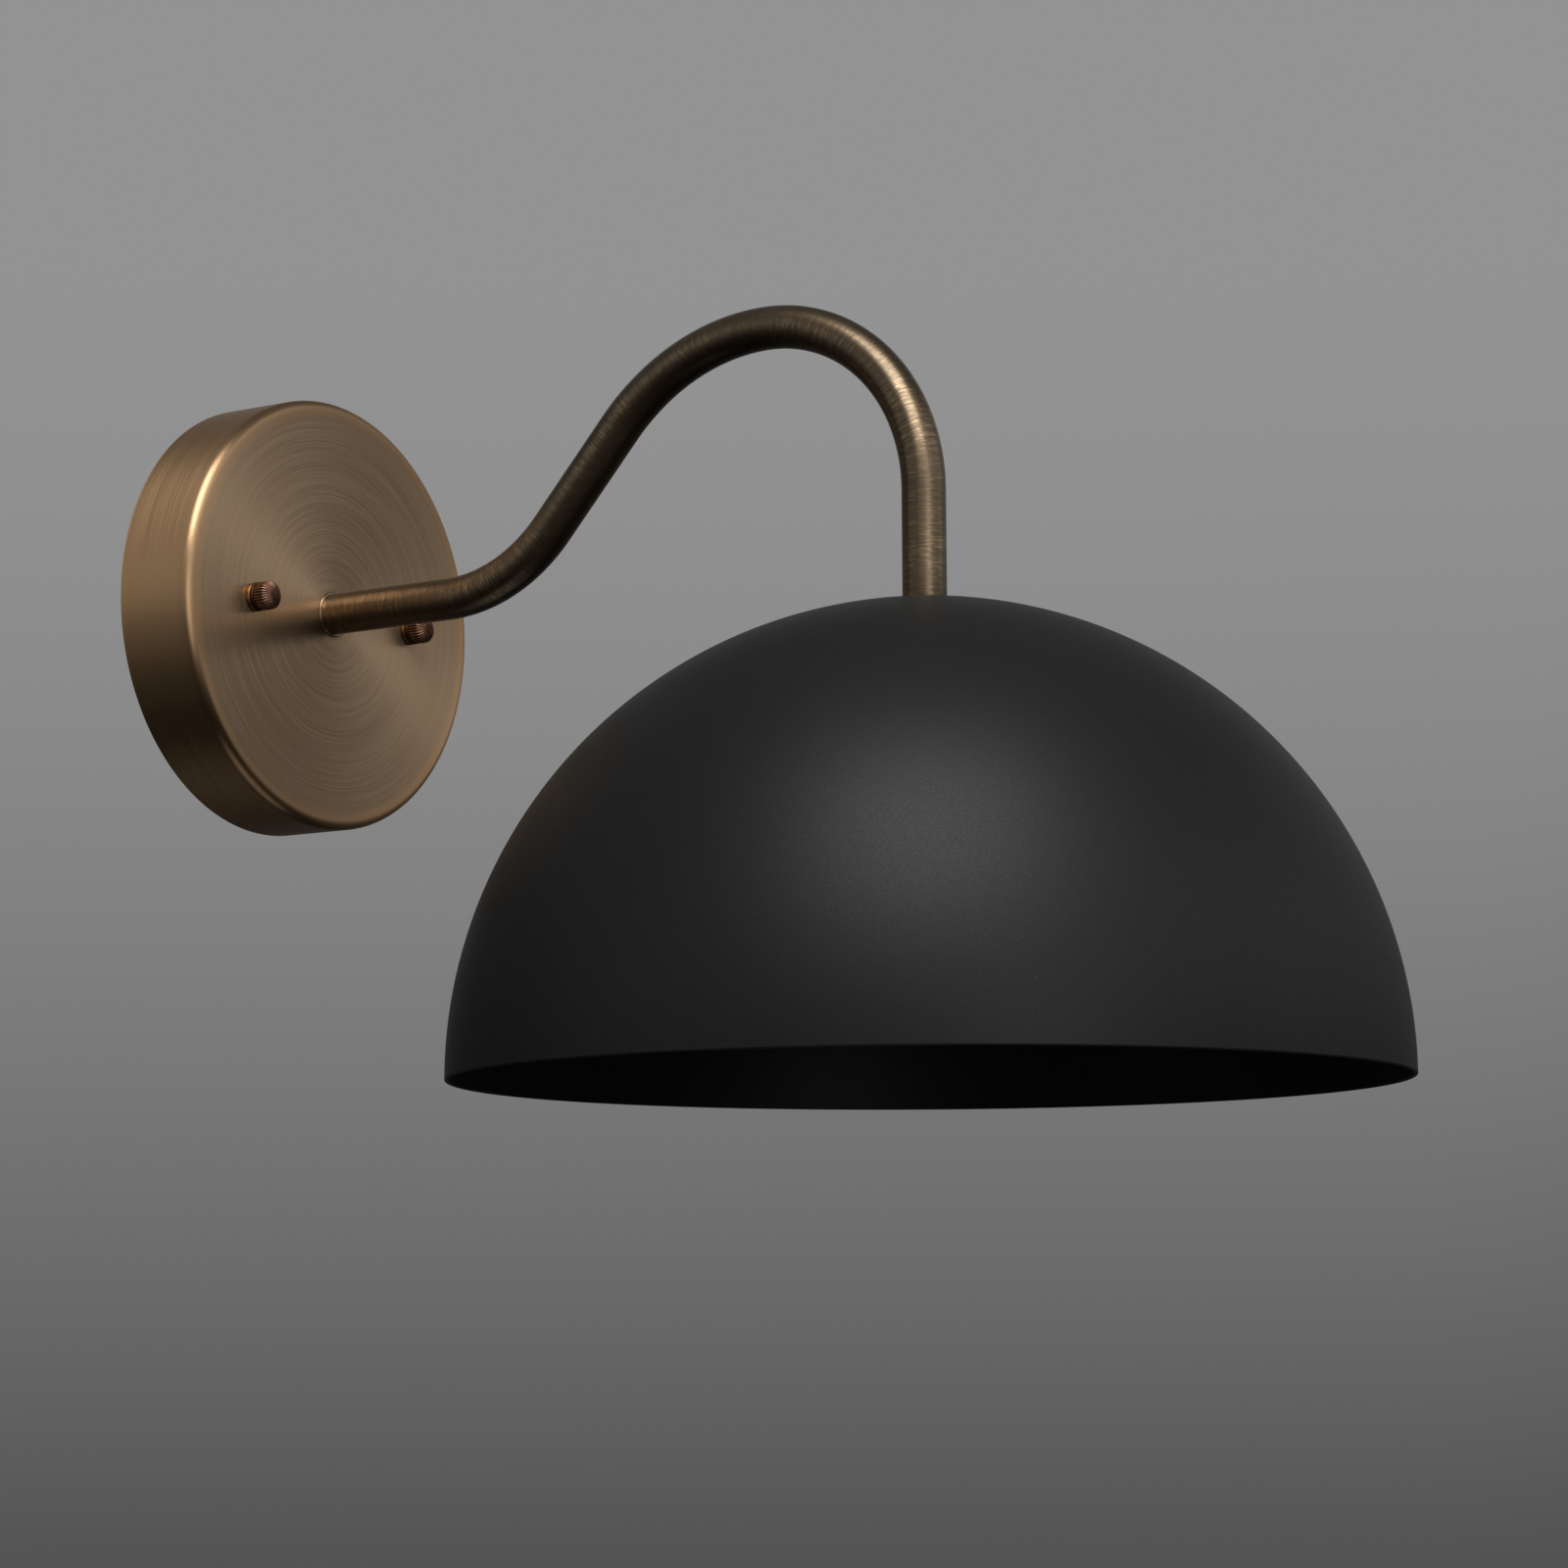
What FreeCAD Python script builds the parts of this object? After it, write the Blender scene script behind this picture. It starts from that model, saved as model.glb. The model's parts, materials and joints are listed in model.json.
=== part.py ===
import FreeCAD, Part
import math
import os

from FreeCAD import Vector

# Wall sconce: a round canopy on the wall, a swan-neck tube arm and a hanging dome shade.
# Millimetres. The wall is the plane y = 0 and the sconce stands out from it towards -Y.
# +Z is up. The origin is the centre of the crossbar's back face, on the wall.
# "Depth" is the distance out from the wall.

# Canopy
CANOPY_DIAMETER = 127.0
CANOPY_DEPTH = 25.4
CANOPY_WALL = 1.0
CANOPY_EDGE_RADIUS = 2.5

# Crossbar
CROSSBAR_LENGTH = 105.0
CROSSBAR_WIDTH = 19.0
CROSSBAR_THICKNESS = 2.0
CROSSBAR_CORNER_RADIUS = 2.5
BOX_SLOT_SPACING = 88.9
BOX_SLOT_LENGTH = 9.0
BOX_SLOT_WIDTH = 4.6
CROSSBAR_CENTRE_HOLE = 10.4

# Canopy studs and the knurled finials on them
STUD_SPACING = 69.85
STUD_DIAMETER = 4.16
STUD_HOLE_CLEARANCE = 0.45
STUD_NUT_WIDTH = 8.7
STUD_NUT_THICKNESS = 3.2
RING_DIAMETER = 8.4
RING_THICKNESS = 1.2
FINIAL_DIAMETER = 8.3
FINIAL_WAIST_DIAMETER = 7.2
FINIAL_FLANGE_LENGTH = 1.2
FINIAL_WAIST_LENGTH = 0.4
FINIAL_BARREL_LENGTH = 3.1
FINIAL_DOME_LENGTH = 2.0
FINIAL_DOME_FULLNESS = 0.78
FINIAL_TIP_RADIUS = 0.35
FINIAL_BORE_DEPTH = 5.0
KNURL_COUNT = 30
KNURL_DEPTH = 0.28
KNURL_WIDTH_SHARE = 0.9

# Ground screw, on the crossbar
GROUND_SCREW_OFFSET = 18.0
GROUND_SCREW_DIAMETER = 4.8
GROUND_HEAD_DIAMETER = 9.0
GROUND_HEAD_HEIGHT = 2.6
GROUND_SLOT_WIDTH = 1.2
GROUND_WIRE_DIAMETER = 1.3
GROUND_WIRE_BEND = 8.0
GROUND_WIRE_BEND_ANGLE = 45.0
GROUND_WIRE_RUN = 10.0

# Hollow threaded nipples, with the washers and nuts that both of them carry
NIPPLE_DIAMETER = 10.0
NIPPLE_BORE = 7.0
NIPPLE_GRIP = 12.0
NIPPLE_STICKOUT = 2.0
THREAD_FIT = 0.05
WASHER_THICKNESS = 1.2
LOCK_WASHER_THICKNESS = 0.8
LOCK_WASHER_DIAMETER = 15.0
LOCK_WASHER_TOOTH = 1.2
LOCK_WASHER_TEETH = 10
NUT_WIDTH = 14.0
NUT_THICKNESS = 3.0
CANOPY_WASHER_DIAMETER = 22.0
SHADE_WASHER_DIAMETER = 15.6
BUSHING_WALL = 0.6
BUSHING_FLANGE_DIAMETER = 9.2
BUSHING_FLANGE_THICKNESS = 1.0
BUSHING_SLEEVE_LENGTH = 5.0

# Arm
TUBE_DIAMETER = 12.0
TUBE_WALL = 1.5
TUBE_EDGE_RADIUS = 0.45
TUBE_TAP_DEPTH = 14.0
SEAT_RING_DIAMETER = 13.4
SEAT_RING_LIP = 0.6
SEAT_RING_STEP = 0.5
SEAT_RING_STEP_DIAMETER = 11.0
ARM_ROOT_RUN = 41.9
ARM_RISE_RADIUS = 51.0
ARM_RISE_ANGLE = 47.5
ARM_RISE_RUN = 35.0
ARM_CREST_RADIUS = 67.0
ARM_FALL_RADIUS = 51.5
ARM_FALL_ANGLE = 90.0
ARM_DROP_RUN = 31.0

# Shade
SHADE_DIAMETER = 254.0
SHADE_WALL = 1.0
SHADE_CROWN_FLAT = 16.0

# Lampholder, from its top down
SOCKET_DIAMETER = 38.0
SOCKET_WALL = 2.2
CAP_NECK_DIAMETER = 17.0
CAP_NECK_LENGTH = 7.0
CAP_SHOULDER_RADIUS = 8.0
CAP_LENGTH = 20.0
SLEEVE_LENGTH = 31.0
SLEEVE_GROOVE_COUNT = 24
SLEEVE_GROOVE_RADIUS = 0.7
CORE_THICKNESS = 7.0
CORE_CLEARANCE = 0.3
SHELL_INNER_DIAMETER = 26.9
SHELL_WALL = 0.6
SHELL_LENGTH = 21.0
SHELL_RIDGE_RADIUS = 1.0
SHELL_RIDGE_TURNS = 4
SCREW_PITCH = 3.629
LEAF_THICKNESS = 0.4
LEAF_WIDTH = 5.0
LEAF_REACH = 11.0
LEAF_DROP = 3.2
RIVET_DIAMETER = 2.4
RIVET_HEAD_DIAMETER = 4.4
RIVET_HEAD_HEIGHT = 0.8
TERMINAL_OFFSET = 10.5
TERMINAL_PLATE_SIZE = 7.0
TERMINAL_PLATE_THICKNESS = 0.8
TERMINAL_SCREW_DIAMETER = 3.0
TERMINAL_HEAD_DIAMETER = 6.2
TERMINAL_HEAD_HEIGHT = 1.8
TERMINAL_SLOT_WIDTH = 0.9

# Bulb: a frosted globe on a screw cap
BULB_LENGTH = 78.0
BULB_DIAMETER = 50.0
BULB_GLASS_WALL = 0.8
BULB_NECK_DIAMETER = 25.4
BULB_NECK_BLEND = 9.0
CAP_THREAD_DIAMETER = 26.0
CAP_ROOT_DIAMETER = 24.6
CAP_BORE = 20.6
CAP_RIDGE_RADIUS = 1.2
CAP_RIDGE_TURNS = 4
CAP_SKIRT_DIAMETER = 26.2
CAP_SKIRT_LENGTH = 3.0
CAP_THREAD_LENGTH = 18.0
INSULATOR_HEIGHT = 4.0
CONTACT_DIAMETER = 9.6
CONTACT_HEIGHT = 1.2

# Leads and their twist-on connectors
LEAD_DIAMETER = 2.2
LEAD_SPACING = 2.6
LEAD_TAIL_BEND = 7.0
LEAD_TAIL_RUN = 12.0
LEAD_END_BEND = 4.5
CONNECTOR_LENGTH = 22.0
CONNECTOR_MOUTH_DIAMETER = 12.0
CONNECTOR_TIP_DIAMETER = 8.4
CONNECTOR_GRIP = 9.0
CONNECTOR_FLUTES = 8
CONNECTOR_FLUTE_RADIUS = 1.2

# Gaps between pieces that move on each other
SEAT_GAP = 0.1
RUNNING_GAP = 0.3

X = Vector(1, 0, 0)
Y = Vector(0, 1, 0)
Z = Vector(0, 0, 1)
OUT = Vector(0, -1, 0)
DOWN = Vector(0, 0, -1)
ORIGIN = Vector(0, 0, 0)

# Depths that several pieces share
canopy_inside = CANOPY_DEPTH - CANOPY_WALL
tube_start = CANOPY_DEPTH + SEAT_RING_LIP + SEAT_RING_STEP
stack_thickness = WASHER_THICKNESS + LOCK_WASHER_THICKNESS + NUT_THICKNESS
wall_nipple_back = canopy_inside - stack_thickness - NIPPLE_STICKOUT
stud_side = STUD_SPACING / 2
nipple_hole_radius = NIPPLE_DIAMETER / 2 + THREAD_FIT
lead_side = LEAD_SPACING / 2


# ---- shaping helpers ----

def turned(start, *steps):
    """Turns an outline about Z. A point is (radius, height); a step of two points is an arc."""
    edges = []
    here = Vector(start[0], 0, start[1])
    for step in steps:
        if isinstance(step[0], tuple):
            via, end = step
            there = Vector(end[0], 0, end[1])
            edges.append(Part.Arc(here, Vector(via[0], 0, via[1]), there).toShape())
        else:
            there = Vector(step[0], 0, step[1])
            edges.append(Part.LineSegment(here, there).toShape())
        here = there
    first = Vector(start[0], 0, start[1])
    if not here.isEqual(first, 1e-6):
        edges.append(Part.LineSegment(here, first).toShape())
    return Part.Face(Part.Wire(edges)).revolve(ORIGIN, Z, 360)


def on_circle(radius, degrees, centre=(0, 0)):
    angle = math.radians(degrees)
    return (centre[0] + radius * math.cos(angle), centre[1] + radius * math.sin(angle))


def rod(radius, length, base=ORIGIN, along=Z):
    return Part.makeCylinder(radius, length, base, along)


def tube(outer_radius, inner_radius, length, base=ORIGIN, along=Z):
    return rod(outer_radius, length, base, along).cut(rod(inner_radius, length, base, along))


def around(piece, count):
    """Copies of a piece spread evenly round Z, as one shape."""
    copies = []
    for number in range(count):
        turned_copy = piece.copy()
        turned_copy.rotate(ORIGIN, Z, number * 360 / count)
        copies.append(turned_copy)
    return Part.makeCompound(copies)


def hexagon_prism(width, height):
    corners = [Vector(*on_circle(width / math.sqrt(3), 60 * number), 0) for number in range(7)]
    return Part.Face(Part.makePolygon(corners)).extrude(Z * height)


def hex_nut(width, thickness, bore_radius):
    """Hex nut standing on z = 0 with its corners turned off at both ends."""
    corner_radius = width / math.sqrt(3)
    bevel = (corner_radius - width / 2) * math.tan(math.radians(30))
    round_blank = turned(
        (0, 0), (width / 2, 0), (corner_radius, bevel),
        (corner_radius, thickness - bevel), (width / 2, thickness), (0, thickness),
    )
    return hexagon_prism(width, thickness).common(round_blank).cut(rod(bore_radius, thickness))


def toothed_washer(outer_radius, bore_radius, thickness):
    """Lock washer with teeth round its bore."""
    gap_width = math.pi * bore_radius / LOCK_WASHER_TEETH
    gap = Part.makeBox(bore_radius + LOCK_WASHER_TOOTH, gap_width, thickness, Vector(0, -gap_width / 2, 0))
    return tube(outer_radius, bore_radius, thickness).cut(around(gap, LOCK_WASHER_TEETH))


def bushing():
    """Flanged plastic sleeve: flange below z = 0, sleeve above it."""
    sleeve_radius = NIPPLE_BORE / 2 - THREAD_FIT
    bore_radius = sleeve_radius - BUSHING_WALL
    flange = tube(
        BUSHING_FLANGE_DIAMETER / 2, bore_radius, BUSHING_FLANGE_THICKNESS,
        DOWN * BUSHING_FLANGE_THICKNESS,
    )
    return flange.fuse(tube(sleeve_radius, bore_radius, BUSHING_SLEEVE_LENGTH)).removeSplitter()


def wire_connector(lead_radius):
    """Twist-on connector: mouth on z = 0, closed tip above, fluted outside."""
    mouth = CONNECTOR_MOUTH_DIAMETER / 2
    tip = CONNECTOR_TIP_DIAMETER / 2
    body = turned(
        (0, 0), (mouth, 0), (mouth, CONNECTOR_GRIP / 3),
        (tip, CONNECTOR_LENGTH - tip / 2),
        (on_circle(tip / 2, 45, (tip / 2, CONNECTOR_LENGTH - tip / 2)), (tip / 2, CONNECTOR_LENGTH)),
        (0, CONNECTOR_LENGTH),
    )
    flute = rod(CONNECTOR_FLUTE_RADIUS, CONNECTOR_LENGTH, Vector(mouth, 0, CONNECTOR_GRIP / 3))
    bore = rod(lead_radius + THREAD_FIT, CONNECTOR_GRIP)
    return body.cut(around(flute, CONNECTOR_FLUTES)).cut(bore)


def follow(point, heading, moves):
    """Path from a point: (length,) runs straight; (radius, degrees, axis) bends round that axis."""
    edges = []
    for move in moves:
        if len(move) == 1:
            end = point + heading * move[0]
            edges.append(Part.LineSegment(point, end).toShape())
        else:
            radius, degrees, axis = move
            angle = math.radians(degrees)
            toward = axis.cross(heading)
            centre = point + toward * radius
            half = heading * math.sin(angle / 2) - toward * math.cos(angle / 2)
            full = heading * math.sin(angle) - toward * math.cos(angle)
            end = centre + full * radius
            edges.append(Part.Arc(point, centre + half * radius, end).toShape())
            heading = heading * math.cos(angle) + toward * math.sin(angle)
        point = end
    return edges, point


def swept(edges, radius, start, heading):
    """Round bar along a path of straight runs and tangent arcs."""
    section = Part.Wire(Part.makeCircle(radius, start, heading))
    return Part.Wire(edges).makePipeShell([section], True, False)


def screw_ridge(helix_radius, wire_radius, turns):
    """Round bar wound into a right-hand helix about Z. It starts on +X at z = 0."""
    helix = Part.makeHelix(SCREW_PITCH, turns * SCREW_PITCH, helix_radius)
    rise = Vector(0, 2 * math.pi * helix_radius, SCREW_PITCH).normalize()
    section = Part.Wire(Part.makeCircle(wire_radius, Vector(helix_radius, 0, 0), rise))
    return Part.Wire(helix.Edges).makePipeShell([section], True, True)


def out_of_wall(piece, side=0, depth=0):
    """Turns a piece that was made along Z to stand out of the wall, and places it."""
    piece = piece.copy()
    piece.rotate(ORIGIN, X, 90)
    piece.translate(Vector(side, -depth, 0))
    return piece


def on_lamp_axis(piece, height):
    """Places a piece that was made about Z on the lamp's axis."""
    piece = piece.copy()
    piece.translate(Vector(0, lamp_axis.y, height))
    return piece


def save(name, shape):
    shape.exportStep(f"parts/{name}.step")
    print(f"{name}: {len(shape.Solids)} solid, {shape.Volume / 1000:.3f} cm3, valid {shape.isValid()}")


# ---- the arm's line, which places the lamp ----

arm_moves = [
    (ARM_ROOT_RUN,),
    (ARM_RISE_RADIUS, ARM_RISE_ANGLE, X * -1),
    (ARM_RISE_RUN,),
    (ARM_CREST_RADIUS, ARM_RISE_ANGLE, X),
    (ARM_FALL_RADIUS, ARM_FALL_ANGLE, X),
    (ARM_DROP_RUN,),
]
arm_start = OUT * tube_start
arm_edges, arm_end = follow(arm_start, OUT, arm_moves)
lamp_axis = Vector(0, arm_end.y, 0)

# Heights down the lamp's axis
crown_top = arm_end.z
crown_inside = crown_top - SHADE_WALL
shade_radius = SHADE_DIAMETER / 2
rim_height = crown_top - SHADE_WALL / 2 - math.sqrt(shade_radius ** 2 - (SHADE_CROWN_FLAT / 2) ** 2)
socket_top = crown_inside - stack_thickness
shade_nipple_end = socket_top - CAP_NECK_LENGTH
core_top = socket_top - CAP_LENGTH + SOCKET_WALL
core_bottom = core_top - CORE_THICKNESS
sleeve_bottom = socket_top - CAP_LENGTH - SLEEVE_LENGTH
bulb_top = core_bottom - LEAF_DROP - LEAF_THICKNESS - RUNNING_GAP
terminal_top = core_top + TERMINAL_PLATE_THICKNESS
shell_bottom = core_bottom - SHELL_LENGTH
shell_ridge_start = shell_bottom + 1.5 * SHELL_RIDGE_RADIUS
bulb_thread_start = bulb_top - CONTACT_HEIGHT - INSULATOR_HEIGHT - CAP_THREAD_LENGTH


# ---- wall end ----

def canopy():
    radius = CANOPY_DIAMETER / 2
    corner = (radius - CANOPY_EDGE_RADIUS, CANOPY_DEPTH - CANOPY_EDGE_RADIUS)
    inner_edge = CANOPY_EDGE_RADIUS - CANOPY_WALL
    cup = turned(
        (radius, 0), (radius, corner[1]),
        (on_circle(CANOPY_EDGE_RADIUS, 45, corner), (corner[0], CANOPY_DEPTH)),
        (nipple_hole_radius, CANOPY_DEPTH), (nipple_hole_radius, canopy_inside),
        (corner[0], canopy_inside),
        (on_circle(inner_edge, 45, corner), (radius - CANOPY_WALL, corner[1])),
        (radius - CANOPY_WALL, 0),
    )
    for side in (-stud_side, stud_side):
        cup = cup.cut(rod(STUD_DIAMETER / 2 + STUD_HOLE_CLEARANCE, CANOPY_DEPTH, X * side))
    return out_of_wall(cup)


def crossbar():
    half_length = CROSSBAR_LENGTH / 2
    half_width = CROSSBAR_WIDTH / 2
    corner = Vector(-half_length, -half_width, 0)
    bar = Part.makeBox(CROSSBAR_LENGTH, CROSSBAR_WIDTH, CROSSBAR_THICKNESS, corner)
    uprights = [edge for edge in bar.Edges if abs(edge.tangentAt(edge.FirstParameter).z) > 0.5]
    bar = bar.makeFillet(CROSSBAR_CORNER_RADIUS, uprights)
    bar = bar.cut(rod(CROSSBAR_CENTRE_HOLE / 2, CROSSBAR_THICKNESS))
    bar = bar.cut(rod(GROUND_SCREW_DIAMETER / 2 + THREAD_FIT, CROSSBAR_THICKNESS, X * -GROUND_SCREW_OFFSET))
    slot_end = BOX_SLOT_WIDTH / 2
    slot_reach = BOX_SLOT_LENGTH / 2 - slot_end
    for sign in (-1, 1):
        bar = bar.cut(rod(STUD_DIAMETER / 2 + THREAD_FIT, CROSSBAR_THICKNESS, X * sign * stud_side))
        middle = sign * BOX_SLOT_SPACING / 2
        slot = Part.makeBox(
            2 * slot_reach, BOX_SLOT_WIDTH, CROSSBAR_THICKNESS,
            Vector(middle - slot_reach, -slot_end, 0),
        )
        for end in (-slot_reach, slot_reach):
            slot = slot.fuse(rod(slot_end, CROSSBAR_THICKNESS, X * (middle + end)))
        bar = bar.cut(slot)
    return out_of_wall(bar)


def stud(side):
    """Threaded stud, flush with the crossbar's back, that reaches into the finial's bore."""
    radius = STUD_DIAMETER / 2
    length = CANOPY_DEPTH + RING_THICKNESS + FINIAL_BORE_DEPTH - RUNNING_GAP
    bevel = radius / 4
    return out_of_wall(
        turned((0, 0), (radius, 0), (radius, length - bevel), (radius - bevel, length), (0, length)),
        side,
    )


def stud_lock_nuts():
    nut = hex_nut(STUD_NUT_WIDTH, STUD_NUT_THICKNESS, STUD_DIAMETER / 2 + THREAD_FIT)
    return Part.makeCompound([
        out_of_wall(nut, side, CROSSBAR_THICKNESS) for side in (-stud_side, stud_side)
    ])


def finial_ring(side):
    radius = RING_DIAMETER / 2
    edge = RING_THICKNESS / 4
    bore = STUD_DIAMETER / 2 + RUNNING_GAP
    ring = turned(
        (bore, 0), (radius, 0), (radius, RING_THICKNESS - edge),
        (radius - edge, RING_THICKNESS), (bore, RING_THICKNESS),
    )
    return out_of_wall(ring, side, CANOPY_DEPTH + SEAT_GAP)


def finial(side):
    """Cap nut: flange, waist, knurled barrel and a dome that ends in a small tip."""
    radius = FINIAL_DIAMETER / 2
    waist = FINIAL_WAIST_DIAMETER / 2
    waist_start = FINIAL_FLANGE_LENGTH
    barrel_start = waist_start + FINIAL_WAIST_LENGTH
    dome_start = barrel_start + FINIAL_BARREL_LENGTH
    tip = dome_start + FINIAL_DOME_LENGTH
    edge = FINIAL_FLANGE_LENGTH / 4
    dome_middle = (radius * FINIAL_DOME_FULLNESS, dome_start + FINIAL_DOME_LENGTH / 2)
    body = turned(
        (0, 0), (radius - edge, 0), (radius, edge), (radius, waist_start - edge),
        (radius - edge, waist_start), (waist, waist_start), (waist, barrel_start),
        (radius - edge, barrel_start), (radius, barrel_start + edge), (radius, dome_start),
        (dome_middle, (FINIAL_TIP_RADIUS, tip - FINIAL_TIP_RADIUS / 2)),
        (0, tip),
    )
    body = body.cut(rod(STUD_DIAMETER / 2 + 2 * THREAD_FIT, FINIAL_BORE_DEPTH))
    knurl_width = KNURL_WIDTH_SHARE * 2 * math.pi * radius / KNURL_COUNT
    groove_outline = Part.makePolygon([
        Vector(radius - KNURL_DEPTH, 0, barrel_start),
        Vector(radius + KNURL_DEPTH, knurl_width, barrel_start),
        Vector(radius + KNURL_DEPTH, -knurl_width, barrel_start),
        Vector(radius - KNURL_DEPTH, 0, barrel_start),
    ])
    groove = Part.Face(groove_outline).extrude(Z * (tip - barrel_start))
    body = body.cut(around(groove, KNURL_COUNT))
    return out_of_wall(body, side, CANOPY_DEPTH + RING_THICKNESS + 2 * SEAT_GAP)


def ground_screw():
    head_seat = CROSSBAR_THICKNESS + GROUND_WIRE_DIAMETER
    radius = GROUND_HEAD_DIAMETER / 2
    top = head_seat + GROUND_HEAD_HEIGHT
    shank = GROUND_SCREW_DIAMETER / 2
    screw = turned(
        (0, 0), (shank, 0), (shank, head_seat), (radius, head_seat),
        (radius, top - GROUND_HEAD_HEIGHT / 2), (radius * 0.7, top), (0, top),
    )
    slot_depth = GROUND_HEAD_HEIGHT / 2
    screw = screw.cut(Part.makeBox(
        2 * radius, GROUND_SLOT_WIDTH, slot_depth,
        Vector(-radius, -GROUND_SLOT_WIDTH / 2, top - slot_depth),
    ))
    return out_of_wall(screw, -GROUND_SCREW_OFFSET)


def ground_wire_route():
    """Three quarters of a turn under the screw's head, then out and down to its connector."""
    loop = GROUND_SCREW_DIAMETER / 2 + GROUND_WIRE_DIAMETER / 2 + THREAD_FIT
    depth = CROSSBAR_THICKNESS + GROUND_WIRE_DIAMETER / 2
    start = Vector(-GROUND_SCREW_OFFSET, -depth, -loop)
    moves = [
        (loop, 270, OUT),
        (GROUND_WIRE_RUN,),
        (GROUND_WIRE_BEND, GROUND_WIRE_BEND_ANGLE, X * -1),
        (GROUND_WIRE_BEND, GROUND_WIRE_BEND_ANGLE, X),
        (GROUND_WIRE_RUN,),
    ]
    return start, X, moves


def ground_wire():
    start, heading, moves = ground_wire_route()
    edges, end = follow(start, heading, moves)
    return swept(edges, GROUND_WIRE_DIAMETER / 2, start, heading)


# ---- hollow nipples and their hardware ----

def nipple(length):
    return tube(NIPPLE_DIAMETER / 2, NIPPLE_BORE / 2, length)


def wall_nipple():
    return out_of_wall(nipple(tube_start + NIPPLE_GRIP - wall_nipple_back), 0, wall_nipple_back)


def canopy_stack():
    """Flat washer, toothed washer and nut behind the canopy's front, in that order."""
    washer_depth = canopy_inside - WASHER_THICKNESS
    lock_depth = washer_depth - LOCK_WASHER_THICKNESS
    nut_depth = lock_depth - NUT_THICKNESS
    washer = tube(CANOPY_WASHER_DIAMETER / 2, nipple_hole_radius, WASHER_THICKNESS)
    lock = toothed_washer(LOCK_WASHER_DIAMETER / 2, nipple_hole_radius, LOCK_WASHER_THICKNESS)
    nut = hex_nut(NUT_WIDTH, NUT_THICKNESS, nipple_hole_radius)
    return {
        "canopy_washer": out_of_wall(washer, 0, washer_depth),
        "canopy_lock_washer": out_of_wall(lock, 0, lock_depth),
        "canopy_nut": out_of_wall(nut, 0, nut_depth),
    }


def shade_nipple():
    return on_lamp_axis(nipple(crown_top + NIPPLE_GRIP - shade_nipple_end), shade_nipple_end)


def shade_stack():
    """Flat washer, toothed washer and nut under the shade's crown, in that order."""
    washer_height = crown_inside - WASHER_THICKNESS
    lock_height = washer_height - LOCK_WASHER_THICKNESS
    washer = tube(SHADE_WASHER_DIAMETER / 2, nipple_hole_radius, WASHER_THICKNESS)
    lock = toothed_washer(LOCK_WASHER_DIAMETER / 2, nipple_hole_radius, LOCK_WASHER_THICKNESS)
    nut = hex_nut(NUT_WIDTH, NUT_THICKNESS, nipple_hole_radius)
    return {
        "shade_washer": on_lamp_axis(washer, washer_height),
        "shade_lock_washer": on_lamp_axis(lock, lock_height),
        "shade_nut": on_lamp_axis(nut, lock_height - NUT_THICKNESS),
    }


def wall_bushing():
    return out_of_wall(bushing(), 0, wall_nipple_back)


def lamp_bushing():
    return on_lamp_axis(bushing(), shade_nipple_end)


# ---- arm ----

def arm_seat_ring():
    lip = SEAT_RING_DIAMETER / 2
    step = SEAT_RING_STEP_DIAMETER / 2
    edge = SEAT_RING_LIP / 2
    height = SEAT_RING_LIP + SEAT_RING_STEP
    ring = turned(
        (nipple_hole_radius, 0), (lip, 0), (lip, edge),
        (on_circle(edge, 45, (lip - edge, edge)), (lip - edge, SEAT_RING_LIP)),
        (step, SEAT_RING_LIP), (step, height), (nipple_hole_radius, height),
    )
    return out_of_wall(ring, 0, CANOPY_DEPTH)


def arm_tube():
    radius = TUBE_DIAMETER / 2
    solid = swept(arm_edges, radius, arm_start, OUT)
    ends = [edge for edge in solid.Edges if is_end_circle(edge, radius)]
    solid = solid.makeFillet(TUBE_EDGE_RADIUS, ends)
    solid = solid.cut(swept(arm_edges, radius - TUBE_WALL, arm_start, OUT))
    solid = solid.cut(rod(nipple_hole_radius, TUBE_TAP_DEPTH, arm_start, OUT))
    return solid.cut(rod(nipple_hole_radius, TUBE_TAP_DEPTH, arm_end, Z))


def is_end_circle(edge, radius):
    if not isinstance(edge.Curve, Part.Circle):
        return False
    at_end = min((edge.Curve.Center - end).Length for end in (arm_start, arm_end)) < radius / 10
    return at_end and abs(edge.Curve.Radius - radius) < radius / 10


# ---- shade ----

def shade():
    """Half ball, open below, with a small flat crown and a rounded rim; z = 0 is the rim."""
    outer = shade_radius
    inner = outer - SHADE_WALL
    flat = SHADE_CROWN_FLAT / 2
    middle = (0, SHADE_WALL / 2)
    crown = crown_top - rim_height
    outer_angle = math.degrees(math.acos(flat / outer))
    inner_angle = math.degrees(math.asin((crown - SHADE_WALL - middle[1]) / inner))
    bowl = turned(
        (outer, middle[1]),
        (on_circle(outer, outer_angle / 2, middle), (flat, crown)),
        (nipple_hole_radius, crown), (nipple_hole_radius, crown - SHADE_WALL),
        on_circle(inner, inner_angle, middle),
        (on_circle(inner, inner_angle / 2, middle), (inner, middle[1])),
        ((inner + SHADE_WALL / 2, 0), (outer, middle[1])),
    )
    return on_lamp_axis(bowl, rim_height)


# ---- lampholder ----

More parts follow.
